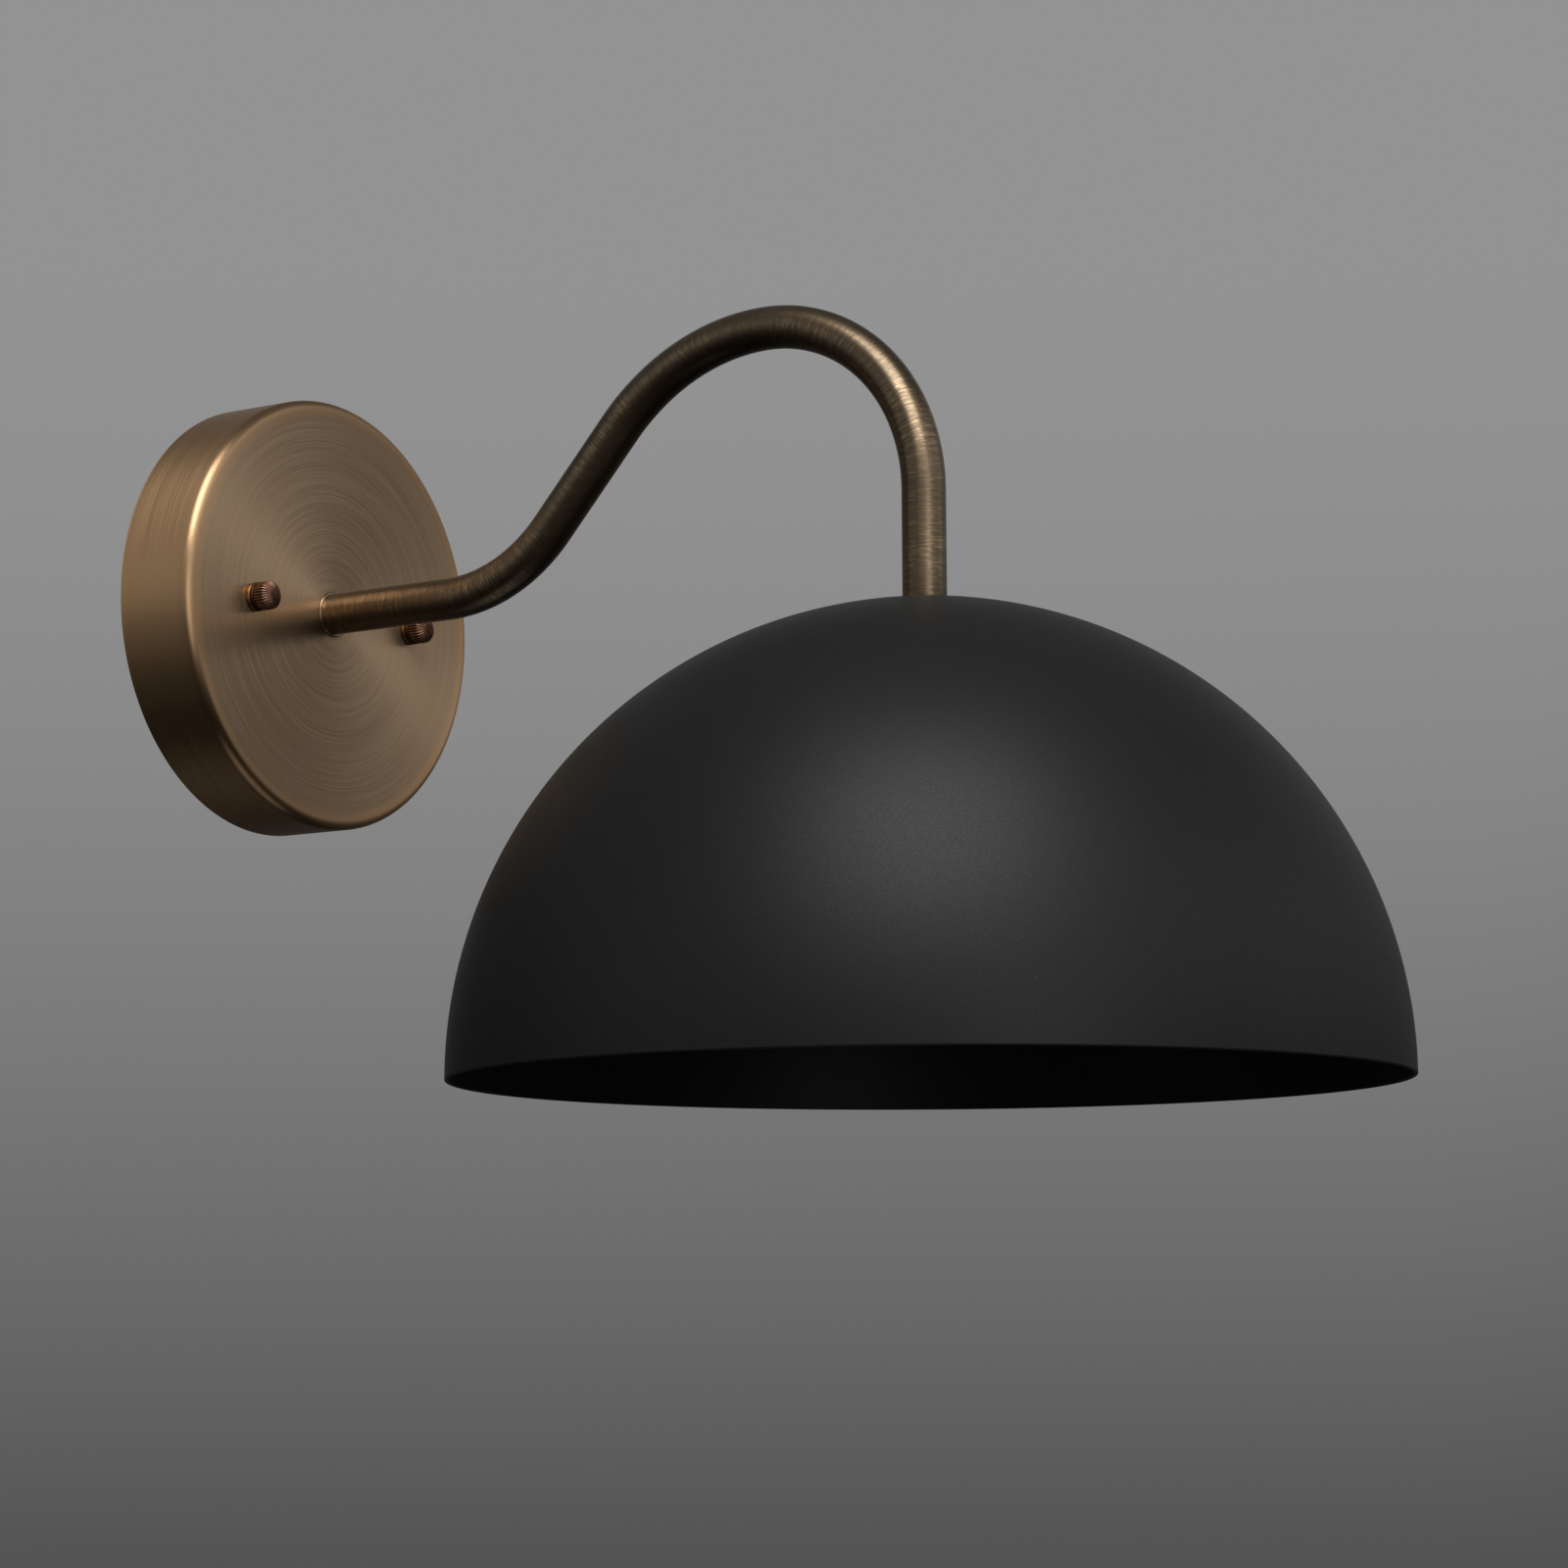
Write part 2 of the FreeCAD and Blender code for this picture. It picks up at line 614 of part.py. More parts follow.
def socket_cap():
    """Neck that screws on the nipple, rounded shoulder and a skirt; z = 0 is its lower edge."""
    radius = SOCKET_DIAMETER / 2
    inner = radius - SOCKET_WALL
    neck = CAP_NECK_DIAMETER / 2
    shoulder_top = CAP_LENGTH - CAP_NECK_LENGTH + SOCKET_WALL
    outer_centre = (radius - CAP_SHOULDER_RADIUS, shoulder_top - CAP_SHOULDER_RADIUS)
    inner_radius = CAP_SHOULDER_RADIUS - SOCKET_WALL
    roof = shoulder_top - SOCKET_WALL
    cap = turned(
        (radius, 0), (radius, outer_centre[1]),
        (on_circle(CAP_SHOULDER_RADIUS, 45, outer_centre), (outer_centre[0], shoulder_top)),
        (neck, shoulder_top), (neck, CAP_LENGTH),
        (nipple_hole_radius, CAP_LENGTH), (nipple_hole_radius, roof),
        (outer_centre[0], roof),
        (on_circle(inner_radius, 45, outer_centre), (inner, outer_centre[1])),
        (inner, 0),
    )
    return on_lamp_axis(cap, socket_top - CAP_LENGTH)


def socket_sleeve():
    """Grooved sleeve under the cap, with a ledge inside that carries the core."""
    radius = SOCKET_DIAMETER / 2
    inner = radius - SOCKET_WALL
    core_edge = core_radius()
    ledge = core_bottom - sleeve_bottom
    lip = core_edge - SOCKET_WALL
    edge = SOCKET_WALL / 2
    sleeve = turned(
        (inner, 0), (radius - edge, 0), (radius, edge), (radius, SLEEVE_LENGTH),
        (inner, SLEEVE_LENGTH), (inner, ledge), (lip, ledge), (lip, ledge - SOCKET_WALL),
        (inner, ledge - SOCKET_WALL),
    )
    groove_place = Vector(radius + SLEEVE_GROOVE_RADIUS / 3, 0, edge + SLEEVE_GROOVE_RADIUS)
    groove = rod(SLEEVE_GROOVE_RADIUS, SLEEVE_LENGTH / 2, groove_place)
    return on_lamp_axis(sleeve.cut(around(groove, SLEEVE_GROOVE_COUNT)), sleeve_bottom)


def core_radius():
    return SOCKET_DIAMETER / 2 - SOCKET_WALL - CORE_CLEARANCE


def socket_core():
    """Insulating disc with holes for the terminal screws and the contact's rivet."""
    core = rod(core_radius(), CORE_THICKNESS)
    for side in (-TERMINAL_OFFSET, TERMINAL_OFFSET):
        core = core.cut(rod(TERMINAL_SCREW_DIAMETER / 2 + THREAD_FIT, CORE_THICKNESS, X * side))
    core = core.cut(rod(RIVET_DIAMETER / 2 + THREAD_FIT, CORE_THICKNESS, Y * leaf_root()))
    return on_lamp_axis(core, core_bottom)


def leaf_root():
    """How far behind the lamp's axis the contact is riveted."""
    return LEAF_REACH - CONTACT_DIAMETER / 2


def screw_shell():
    """Threaded brass shell under the core; z = 0 is its open end."""
    inner = SHELL_INNER_DIAMETER / 2
    outer = inner + SHELL_WALL
    flange = tube(outer, RIVET_HEAD_DIAMETER + leaf_root(), SHELL_WALL, Z * (SHELL_LENGTH - SHELL_WALL))
    wall = tube(outer, inner, SHELL_LENGTH)
    ridge = screw_ridge(inner + SHELL_RIDGE_RADIUS / 4, SHELL_RIDGE_RADIUS, SHELL_RIDGE_TURNS)
    ridge.translate(Z * (shell_ridge_start - shell_bottom))
    return on_lamp_axis(wall.fuse(flange).fuse(ridge), shell_bottom)


def contact_foot():
    """Flat strip that the rivet holds under the core."""
    root = leaf_root()
    half = RIVET_HEAD_DIAMETER / 2
    corner = Vector(-LEAF_WIDTH / 2, root - half, -LEAF_THICKNESS)
    rivet_hole = Vector(0, root, -LEAF_THICKNESS)
    foot = Part.makeBox(LEAF_WIDTH, 2 * half, LEAF_THICKNESS, corner)
    foot = foot.cut(rod(RIVET_DIAMETER / 2 + THREAD_FIT, LEAF_THICKNESS, rivet_hole))
    return on_lamp_axis(foot, core_bottom)


def contact_leaf():
    """Sprung tongue: round at its bend, sloping down to a level end on the axis."""
    half = LEAF_WIDTH / 2
    round_end = LEAF_THICKNESS / 2
    bend = leaf_root() - RIVET_HEAD_DIAMETER / 2 - SEAT_GAP - round_end
    low = -LEAF_DROP - LEAF_THICKNESS
    level = CONTACT_DIAMETER / 4
    side = Part.makePolygon([
        Vector(-half, bend, 0), Vector(-half, level, -LEAF_DROP), Vector(-half, -level, -LEAF_DROP),
        Vector(-half, -level, low), Vector(-half, level, low),
        Vector(-half, bend, -LEAF_THICKNESS), Vector(-half, bend, 0),
    ])
    tongue = Part.Face(side).extrude(X * LEAF_WIDTH)
    tongue = tongue.fuse(rod(round_end, LEAF_WIDTH, Vector(-half, bend, -round_end), X))
    return on_lamp_axis(tongue.removeSplitter(), core_bottom)


def contact_rivet():
    """Rivet through the core, with a head above it and one under the contact's foot."""
    shank = RIVET_DIAMETER / 2
    head = RIVET_HEAD_DIAMETER / 2
    rivet = turned(
        (0, -LEAF_THICKNESS - RIVET_HEAD_HEIGHT), (head / 2, -LEAF_THICKNESS - RIVET_HEAD_HEIGHT),
        (head, -LEAF_THICKNESS), (shank, -LEAF_THICKNESS), (shank, CORE_THICKNESS), (head, CORE_THICKNESS),
        (head / 2, CORE_THICKNESS + RIVET_HEAD_HEIGHT), (0, CORE_THICKNESS + RIVET_HEAD_HEIGHT),
    )
    rivet.translate(Y * leaf_root())
    return on_lamp_axis(rivet, core_bottom)


def terminal_plates():
    size = TERMINAL_PLATE_SIZE
    plates = []
    for side in (-TERMINAL_OFFSET, TERMINAL_OFFSET):
        plate = Part.makeBox(size, size, TERMINAL_PLATE_THICKNESS, Vector(side - size / 2, -size / 2, 0))
        plate = plate.cut(rod(TERMINAL_SCREW_DIAMETER / 2 + THREAD_FIT, TERMINAL_PLATE_THICKNESS, X * side))
        plates.append(on_lamp_axis(plate, core_top))
    return Part.makeCompound(plates)


def terminal_screws():
    """Cheese-head screws: shank through plate and core, head above the lead's end."""
    shank = TERMINAL_SCREW_DIAMETER / 2
    head = TERMINAL_HEAD_DIAMETER / 2
    seat = CORE_THICKNESS + TERMINAL_PLATE_THICKNESS
    top = seat + TERMINAL_HEAD_HEIGHT
    slot_depth = TERMINAL_HEAD_HEIGHT / 2
    screw = turned((0, 0), (shank, 0), (shank, seat), (head, seat), (head, top), (0, top))
    screw = screw.cut(Part.makeBox(
        2 * head, TERMINAL_SLOT_WIDTH, slot_depth,
        Vector(-head, -TERMINAL_SLOT_WIDTH / 2, top - slot_depth),
    ))
    screws = []
    for side in (-TERMINAL_OFFSET, TERMINAL_OFFSET):
        placed = on_lamp_axis(screw, core_bottom)
        placed.translate(X * side)
        screws.append(placed)
    return Part.makeCompound(screws)


# ---- bulb ----

def bulb_glass():
    """Hollow globe with a neck; z = 0 is its lowest point."""
    radius = BULB_DIAMETER / 2
    neck = BULB_NECK_DIAMETER / 2
    wall = BULB_GLASS_WALL
    length = BULB_LENGTH - CONTACT_HEIGHT - INSULATOR_HEIGHT - CAP_THREAD_LENGTH - CAP_SKIRT_LENGTH / 2
    blend = BULB_NECK_BLEND
    middle = (0, radius)
    blend_height = radius + math.sqrt((radius + blend) ** 2 - (neck + blend) ** 2)
    blend_centre = (neck + blend, blend_height)
    meet_angle = math.degrees(math.atan2(blend_height - radius, neck + blend))
    outside = [
        (on_circle(radius, (meet_angle - 90) / 2, middle), on_circle(radius, meet_angle, middle)),
        (on_circle(blend, 180 + meet_angle / 2, blend_centre), (neck, blend_height)),
        (neck, length),
    ]
    inside = [
        (neck - wall, length), (neck - wall, blend_height),
        (
            on_circle(blend + wall, 180 + meet_angle / 2, blend_centre),
            on_circle(radius - wall, meet_angle, middle),
        ),
        (on_circle(radius - wall, (meet_angle - 90) / 2, middle), (0, wall)),
    ]
    glass = turned((0, 0), *outside, *inside)
    return on_lamp_axis(glass, bulb_top - BULB_LENGTH)


def bulb_cap():
    """Screw cap with a wound ridge and a skirt round the neck; z = 0 is the start of its thread."""
    root = CAP_ROOT_DIAMETER / 2
    skirt = CAP_SKIRT_DIAMETER / 2
    bore = CAP_BORE / 2
    neck = BULB_NECK_DIAMETER / 2 + THREAD_FIT
    barrel = turned(
        (bore, 0), (neck, 0), (neck, -CAP_SKIRT_LENGTH), (skirt, -CAP_SKIRT_LENGTH), (skirt, 0),
        (root, skirt - root), (root, CAP_THREAD_LENGTH), (bore, CAP_THREAD_LENGTH),
    )
    # At rest the ridge runs midway between the turns of the shell's ridge.
    lowest_start = CAP_RIDGE_RADIUS + skirt - root
    timing = shell_ridge_start + SCREW_PITCH / 2 - bulb_thread_start - lowest_start
    ridge = screw_ridge(CAP_THREAD_DIAMETER / 2 - CAP_RIDGE_RADIUS, CAP_RIDGE_RADIUS, CAP_RIDGE_TURNS)
    ridge.translate(Z * (lowest_start + timing % SCREW_PITCH))
    return on_lamp_axis(barrel.fuse(ridge), bulb_thread_start)


def bulb_insulator():
    """Glass cone that closes the cap and holds the centre contact; z = 0 is its lower edge."""
    base = CAP_ROOT_DIAMETER / 2
    top = CONTACT_DIAMETER / 2 + 1.0
    cone = turned(
        (0, 0), (base, 0), (base, INSULATOR_HEIGHT / 4), (top, INSULATOR_HEIGHT), (0, INSULATOR_HEIGHT),
    )
    return on_lamp_axis(cone, bulb_thread_start + CAP_THREAD_LENGTH)


def bulb_contact():
    radius = CONTACT_DIAMETER / 2
    button = turned(
        (0, 0), (radius, 0), ((radius * 0.8, CONTACT_HEIGHT * 0.6), (radius * 0.4, CONTACT_HEIGHT)),
        (0, CONTACT_HEIGHT),
    )
    return on_lamp_axis(button, bulb_top - CONTACT_HEIGHT)


# ---- leads ----

def lead(sign):
    """One lead: down or up from its connector, through nipple and arm, to its terminal."""
    side = sign * lead_side
    radius = LEAD_DIAMETER / 2
    tail_depth = wall_nipple_back - BUSHING_FLANGE_THICKNESS - LEAD_TAIL_BEND
    start = Vector(side, -tail_depth, sign * (LEAD_TAIL_BEND + LEAD_TAIL_RUN + CONNECTOR_GRIP - THREAD_FIT))
    heading = Z * -sign
    lamp_run = crown_top - terminal_top - radius - LEAD_END_BEND
    terminal_run = TERMINAL_OFFSET - lead_side - LEAD_END_BEND - TERMINAL_HEAD_DIAMETER / 2
    moves = [
        (LEAD_TAIL_RUN + CONNECTOR_GRIP - THREAD_FIT,),
        (LEAD_TAIL_BEND, 90, X * -sign),
        (tube_start - tail_depth - LEAD_TAIL_BEND,),
        *arm_moves,
        (lamp_run,),
        (LEAD_END_BEND, 90, Y * -sign),
        (terminal_run,),
    ]
    edges, end = follow(start, heading, moves)
    return swept(edges, radius, start, heading)


def wire_connectors():
    """Connectors of both leads and of the ground wire."""
    tail_depth = wall_nipple_back - BUSHING_FLANGE_THICKNESS - LEAD_TAIL_BEND
    mouth = LEAD_TAIL_BEND + LEAD_TAIL_RUN
    connectors = []
    for sign in (-1, 1):
        piece = wire_connector(LEAD_DIAMETER / 2)
        if sign < 0:
            piece.rotate(ORIGIN, X, 180)
        piece.translate(Vector(sign * lead_side, -tail_depth, sign * mouth))
        connectors.append(piece)
    start, heading, moves = ground_wire_route()
    edges, end = follow(start, heading, moves)
    piece = wire_connector(GROUND_WIRE_DIAMETER / 2)
    piece.rotate(ORIGIN, X, 180)
    piece.translate(end + Z * (CONNECTOR_GRIP - THREAD_FIT))
    connectors.append(piece)
    return Part.makeCompound(connectors)


# ---- every piece, one file each ----

def main():
    os.makedirs("parts", exist_ok=True)
    pieces = {
        "canopy": canopy(),
        "crossbar": crossbar(),
        "stud_left": stud(-stud_side),
        "stud_right": stud(stud_side),
        "stud_lock_nuts": stud_lock_nuts(),
        "finial_ring_left": finial_ring(-stud_side),
        "finial_ring_right": finial_ring(stud_side),
        "finial_left": finial(-stud_side),
        "finial_right": finial(stud_side),
        "ground_screw": ground_screw(),
        "ground_wire": ground_wire(),
        "wall_nipple": wall_nipple(),
        "wall_bushing": wall_bushing(),
        "arm_seat_ring": arm_seat_ring(),
        "arm_tube": arm_tube(),
        "shade_nipple": shade_nipple(),
        "lamp_bushing": lamp_bushing(),
        "shade": shade(),
        "socket_cap": socket_cap(),
        "socket_sleeve": socket_sleeve(),
        "socket_core": socket_core(),
        "screw_shell": screw_shell(),
        "contact_foot": contact_foot(),
        "contact_leaf": contact_leaf(),
        "contact_rivet": contact_rivet(),
        "terminal_plates": terminal_plates(),
        "terminal_screws": terminal_screws(),
        "bulb_glass": bulb_glass(),
        "bulb_cap": bulb_cap(),
        "bulb_insulator": bulb_insulator(),
        "bulb_contact": bulb_contact(),
        "lead_hot": lead(1),
        "lead_neutral": lead(-1),
        "wire_connectors": wire_connectors(),
    }
    pieces.update(canopy_stack())
    pieces.update(shade_stack())
    for name, shape in pieces.items():
        save(name, shape)


main()
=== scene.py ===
import json
import math

import bmesh
import bpy
from mathutils import Matrix, Vector


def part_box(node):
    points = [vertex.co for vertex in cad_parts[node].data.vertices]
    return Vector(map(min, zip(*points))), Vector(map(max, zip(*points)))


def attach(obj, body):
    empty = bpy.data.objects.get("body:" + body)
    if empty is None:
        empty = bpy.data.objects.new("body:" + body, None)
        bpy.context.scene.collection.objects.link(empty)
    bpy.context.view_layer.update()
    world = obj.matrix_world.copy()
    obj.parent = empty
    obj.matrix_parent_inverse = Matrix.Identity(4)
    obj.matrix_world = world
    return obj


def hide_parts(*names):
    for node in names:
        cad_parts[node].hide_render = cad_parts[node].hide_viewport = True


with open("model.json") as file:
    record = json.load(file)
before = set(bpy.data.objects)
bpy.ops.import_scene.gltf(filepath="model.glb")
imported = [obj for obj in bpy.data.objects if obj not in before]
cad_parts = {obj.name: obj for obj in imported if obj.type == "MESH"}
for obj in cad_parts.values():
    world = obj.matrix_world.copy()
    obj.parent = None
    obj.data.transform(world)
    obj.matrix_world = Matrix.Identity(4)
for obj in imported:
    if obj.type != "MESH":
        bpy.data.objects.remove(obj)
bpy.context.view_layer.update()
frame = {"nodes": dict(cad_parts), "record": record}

# Wall sconce with a brushed canopy, a swan-neck arm and a black dome shade.
# Metres. The wall is y = 0, the sconce stands out from it towards -Y and +Z is up.

MM = 0.001


# ---- working in edit mode ----

def put_down():
    """Object mode with nothing selected."""
    if bpy.context.mode != "OBJECT":
        bpy.ops.object.mode_set(mode="OBJECT")
    bpy.ops.object.select_all(action="DESELECT")


def take(piece):
    put_down()
    piece.select_set(True)
    bpy.context.view_layer.objects.active = piece
    bpy.ops.object.mode_set(mode="EDIT")


def started():
    """The primitive just added, its place moved into its mesh, open in edit mode."""
    piece = bpy.context.object
    bpy.ops.object.transform_apply(location=True, rotation=True, scale=True)
    bpy.ops.object.mode_set(mode="EDIT")
    return piece


def pick(piece, kind, test):
    """Selects the vertices, edges or faces that pass a test."""
    bpy.ops.mesh.select_mode(type=kind)
    bpy.ops.mesh.select_all(action="DESELECT")
    mesh = bmesh.from_edit_mesh(piece.data)
    for part in {"VERT": mesh.verts, "EDGE": mesh.edges, "FACE": mesh.faces}[kind]:
        part.select_set(bool(test(part)))
    mesh.select_flush_mode()
    bmesh.update_edit_mesh(piece.data)


def pick_loop(piece, on_loop):
    """Selects the edges whose two ends both pass a test on their place."""
    pick(piece, "EDGE", lambda edge: all(on_loop(corner.co) for corner in edge.verts))


def drop_faces(piece, test):
    pick(piece, "FACE", test)
    bpy.ops.mesh.delete(type="FACE")


def push(offset):
    bpy.ops.mesh.extrude_region_move(TRANSFORM_OT_translate={"value": offset})


def weld():
    bpy.ops.mesh.select_all(action="SELECT")
    bpy.ops.mesh.remove_doubles(threshold=1e-6)
    bpy.ops.mesh.normals_make_consistent(inside=False)


def modified(piece, kind, **settings):
    """Adds one modifier and applies it."""
    put_down()
    piece.select_set(True)
    bpy.context.view_layer.objects.active = piece
    modifier = piece.modifiers.new(kind.lower(), kind)
    for name, value in settings.items():
        setattr(modifier, name, value)
    bpy.ops.object.modifier_apply(modifier=modifier.name)


def smooth(piece, angle=30):
    put_down()
    piece.select_set(True)
    bpy.context.view_layer.objects.active = piece
    bpy.ops.object.shade_smooth_by_angle(angle=math.radians(angle))


def placed(piece, name, node):
    """Names a finished piece, gives it its finish and lets it stand for one CAD node."""
    put_down()
    piece.name = name
    piece.data.name = name
    piece.data.materials.clear()
    piece.data.materials.append(finishes[slot_by_node[node]])
    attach(piece, body_of[node])
    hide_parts(node)
    return piece


body_of = {}
for body, nodes in frame["record"]["behaviour"]["bodies"].items():
    body_of.update({node: body for node in nodes})
slot_by_node = {part["node"]: part["material_slot"] for part in frame["record"]["subparts"]}


def middle(node):
    low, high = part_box(node)
    return (low + high) / 2


# ---- finishes ----

class Finish:
    """One material, and short names for the nodes that make it."""

    def __init__(self, name, metallic=0.0, roughness=0.5, colour=(0.5, 0.5, 0.5)):
        self.material = bpy.data.materials.new(name)
        self.material.use_nodes = True
        self.tree = self.material.node_tree
        self.shader = next(node for node in self.tree.nodes if node.type == "BSDF_PRINCIPLED")
        self.set("Metallic", metallic)
        self.set("Roughness", roughness)
        self.set("Base Color", (*colour, 1))

    def set(self, socket, value):
        self.shader.inputs[socket].default_value = value

    def link(self, source, socket):
        self.tree.links.new(source, self.shader.inputs[socket])

    def node(self, kind, inputs=None, **settings):
        node = self.tree.nodes.new("ShaderNode" + kind)
        for name, value in settings.items():
            setattr(node, name, value)
        for socket, value in (inputs or {}).items():
            if isinstance(value, bpy.types.NodeSocket):
                self.tree.links.new(value, node.inputs[socket])
            else:
                node.inputs[socket].default_value = value
        return node

    def place(self):
        return self.node("TexCoord").outputs["Object"]

    def attribute(self, name, output="Vector"):
        return self.node("Attribute", attribute_name=name).outputs[output]

    def maths(self, operation, *values):
        return self.node("Math", dict(enumerate(values)), operation=operation).outputs[0]

    def stretched(self, place, scale):
        return self.node("VectorMath", {0: place, 1: scale}, operation="MULTIPLY").outputs[0]

    def noise(self, place, scale, detail=2.0, rough=0.5, **more):
        inputs = {"Vector": place, "Scale": scale, "Detail": detail, "Roughness": rough}
        return self.node("TexNoise", inputs, **more).outputs["Fac"]

    def between(self, value, low, high, to_low=0.0, to_high=1.0):
        """value from low..high to to_low..to_high, eased and held at both ends."""
        inputs = {"Value": value, "From Min": low, "From Max": high, "To Min": to_low, "To Max": to_high}
        eased = self.node("MapRange", inputs, interpolation_type="SMOOTHSTEP")
        return eased.outputs["Result"]

    def blend(self, share, first, second):
        """first where share is 0, second where it is 1; each a colour or a node's output."""
        inputs = {0: share}
        for socket, colour in ((6, first), (7, second)):
            inputs[socket] = colour if isinstance(colour, bpy.types.NodeSocket) else (*colour, 1)
        return self.node("Mix", inputs, data_type="RGBA").outputs[2]

    def bump(self, height, strength, depth, below=None):
        inputs = {"Height": height, "Strength": strength, "Distance": depth}
        if below:
            inputs["Normal"] = below
        return self.node("Bump", inputs).outputs["Normal"]

    def round_axis(self, place, along="Y"):
        """Distance from a world axis, and the direction round it, from Object coordinates."""
        keep = (1, 0, 1) if along == "Y" else (1, 1, 0)
        axis = (0, 1, 0) if along == "Y" else (0, 0, 1)
        flat = self.stretched(place, keep)
        distance = self.node("VectorMath", {0: flat}, operation="LENGTH").outputs["Value"]
        outward = self.node("VectorMath", {0: flat}, operation="NORMALIZE").outputs[0]
        around = self.node("VectorMath", {0: outward, 1: axis}, operation="CROSS_PRODUCT").outputs[0]
        return distance, outward, around


def spun_brass():
    """Antique brass, brushed in rings on the lathe and rubbed to copper along its edges, with a painted
    sheen that lightens its side wall.
    """
    finish = Finish("antique_brass_spun", metallic=1, roughness=0.36)
    place = finish.place()
    radius, outward, around = finish.round_axis(place)
    parts = finish.node("SeparateXYZ", {0: place}).outputs
    direction = finish.node("SeparateXYZ", {0: outward}).outputs
    lines_per_metre, change_round = 2900, 0.9
    line_place = finish.node("CombineXYZ", {
        0: finish.maths("MULTIPLY", radius, lines_per_metre),
        1: finish.maths("MULTIPLY", parts[1], lines_per_metre),
        2: finish.maths("MULTIPLY", direction[0], change_round)}).outputs[0]
    turn = finish.maths("MULTIPLY", direction[2], change_round)
    ring_place = {"Vector": line_place, "W": turn}
    fine = finish.node("TexNoise", {**ring_place, "Scale": 1, "Detail": 4, "Roughness": 0.62},
                       noise_dimensions="4D").outputs["Fac"]
    wide = finish.node("TexNoise", {**ring_place, "Scale": 0.13, "Detail": 2},
                       noise_dimensions="4D").outputs["Fac"]
    patch = finish.noise(place, 28, 3)
    lines = finish.maths("ADD", finish.maths("MULTIPLY", fine, 0.9), finish.maths("MULTIPLY", wide, 0.1))
    colour = finish.blend(finish.between(lines, 0.36, 0.66), (0.335, 0.232, 0.145), (0.410, 0.295, 0.190))
    colour = finish.blend(finish.between(patch, 0.35, 0.7, 0, 0.3), colour, (0.385, 0.250, 0.148))
    # Painted sheen: the side wall gets a lighter, yellower brass than the face, standing in for light
    # falling on it.
    painted_side_sheen = finish.between(parts[1], -0.0245, -0.020, 0, 0.6)
    colour = finish.blend(painted_side_sheen, colour, (0.60, 0.405, 0.215))
    rubbed = finish.maths("MAXIMUM", finish.between(radius, 0.0565, 0.0622, 0, 0.5),
                          finish.between(parts[1], -0.007, 0.0, 0, 0.8))
    colour = finish.blend(rubbed, colour, (0.60, 0.345, 0.17))
    finish.link(colour, "Base Color")
    finish.link(finish.between(lines, 0.3, 0.7, 0.42, 0.31), "Roughness")
    finish.link(finish.bump(fine, 0.12, 0.00003), "Normal")
    finish.set("Anisotropic", 0.78)
    finish.set("Anisotropic Rotation", 0.25)
    finish.link(around, "Tangent")
    return finish.material


def cross_brushed_bronze():
    """Dark bronze on the tube: fine strokes across it that cut through to golden brass."""
    finish = Finish("dark_bronze_cross_brushed", metallic=1, roughness=0.4)
    unbent = finish.attribute("unbent")
    strokes = finish.noise(finish.stretched(unbent, (3400, 260, 260)), 1, 4, 0.65)
    wisps = finish.noise(finish.stretched(unbent, (1500, 120, 120)), 1, 2, 0.5)
    patch = finish.noise(finish.stretched(unbent, (55, 90, 90)), 1, 3, 0.55)
    along = finish.node("SeparateXYZ", {0: unbent}).outputs[0]
    worn = finish.between(strokes, 0.45, 0.72)
    worn = finish.maths("MULTIPLY", worn, finish.between(patch, 0.3, 0.72, 0.35, 1.0))
    colour = finish.blend(worn, (0.125, 0.087, 0.050), (0.42, 0.298, 0.168))
    colour = finish.blend(finish.between(wisps, 0.62, 0.8, 0, 0.45), colour, (0.40, 0.285, 0.165))
    colour = finish.blend(finish.between(along, 0.055, 0.0, 0, 0.15), colour, (0.36, 0.25, 0.13))
    finish.link(colour, "Base Color")
    finish.link(finish.between(strokes, 0.3, 0.7, 0.42, 0.30), "Roughness")
    finish.link(finish.bump(strokes, 0.35, 0.00004), "Normal")
    finish.set("Anisotropic", 0.3)
    finish.link(finish.attribute("arm_line"), "Tangent")
    finish.set("Coat Weight", 0.5)
    finish.set("Coat Roughness", 0.32)
    return finish.material


def finial_bronze():
    """Dark reddish bronze, lighter on the crests of the knurl."""
    finish = Finish("finial_bronze", metallic=1, roughness=0.4)
    place = finish.place()
    crest = finish.attribute("crest", "Fac")
    patch = finish.noise(place, 420, 4, 0.6)
    grain = finish.noise(place, 5200, 2)
    colour = finish.blend(finish.between(patch, 0.3, 0.7), (0.060, 0.028, 0.018), (0.120, 0.058, 0.036))
    colour = finish.blend(finish.maths("MULTIPLY", crest, 0.8), colour, (0.40, 0.225, 0.14))
    finish.link(colour, "Base Color")
    finish.link(finish.between(patch, 0.3, 0.7, 0.52, 0.40), "Roughness")
    finish.link(finish.bump(grain, 0.2, 0.00002), "Normal")
    return finish.material


def ring_brass():
    """Darker orange brass with fine turning marks, for the washers and the arm's seat ring."""
    finish = Finish("ring_brass", metallic=1, roughness=0.34)
    place = finish.place()
    turned = finish.noise(finish.stretched(place, (60, 5200, 60)), 1, 3, 0.6)
    patch = finish.noise(place, 300, 3)
    colour = finish.blend(finish.between(patch, 0.3, 0.7), (0.27, 0.125, 0.036), (0.38, 0.19, 0.062))
    finish.link(colour, "Base Color")
    finish.link(finish.between(turned, 0.3, 0.7, 0.4, 0.28), "Roughness")
    finish.link(finish.bump(turned, 0.2, 0.00002), "Normal")
    return finish.material


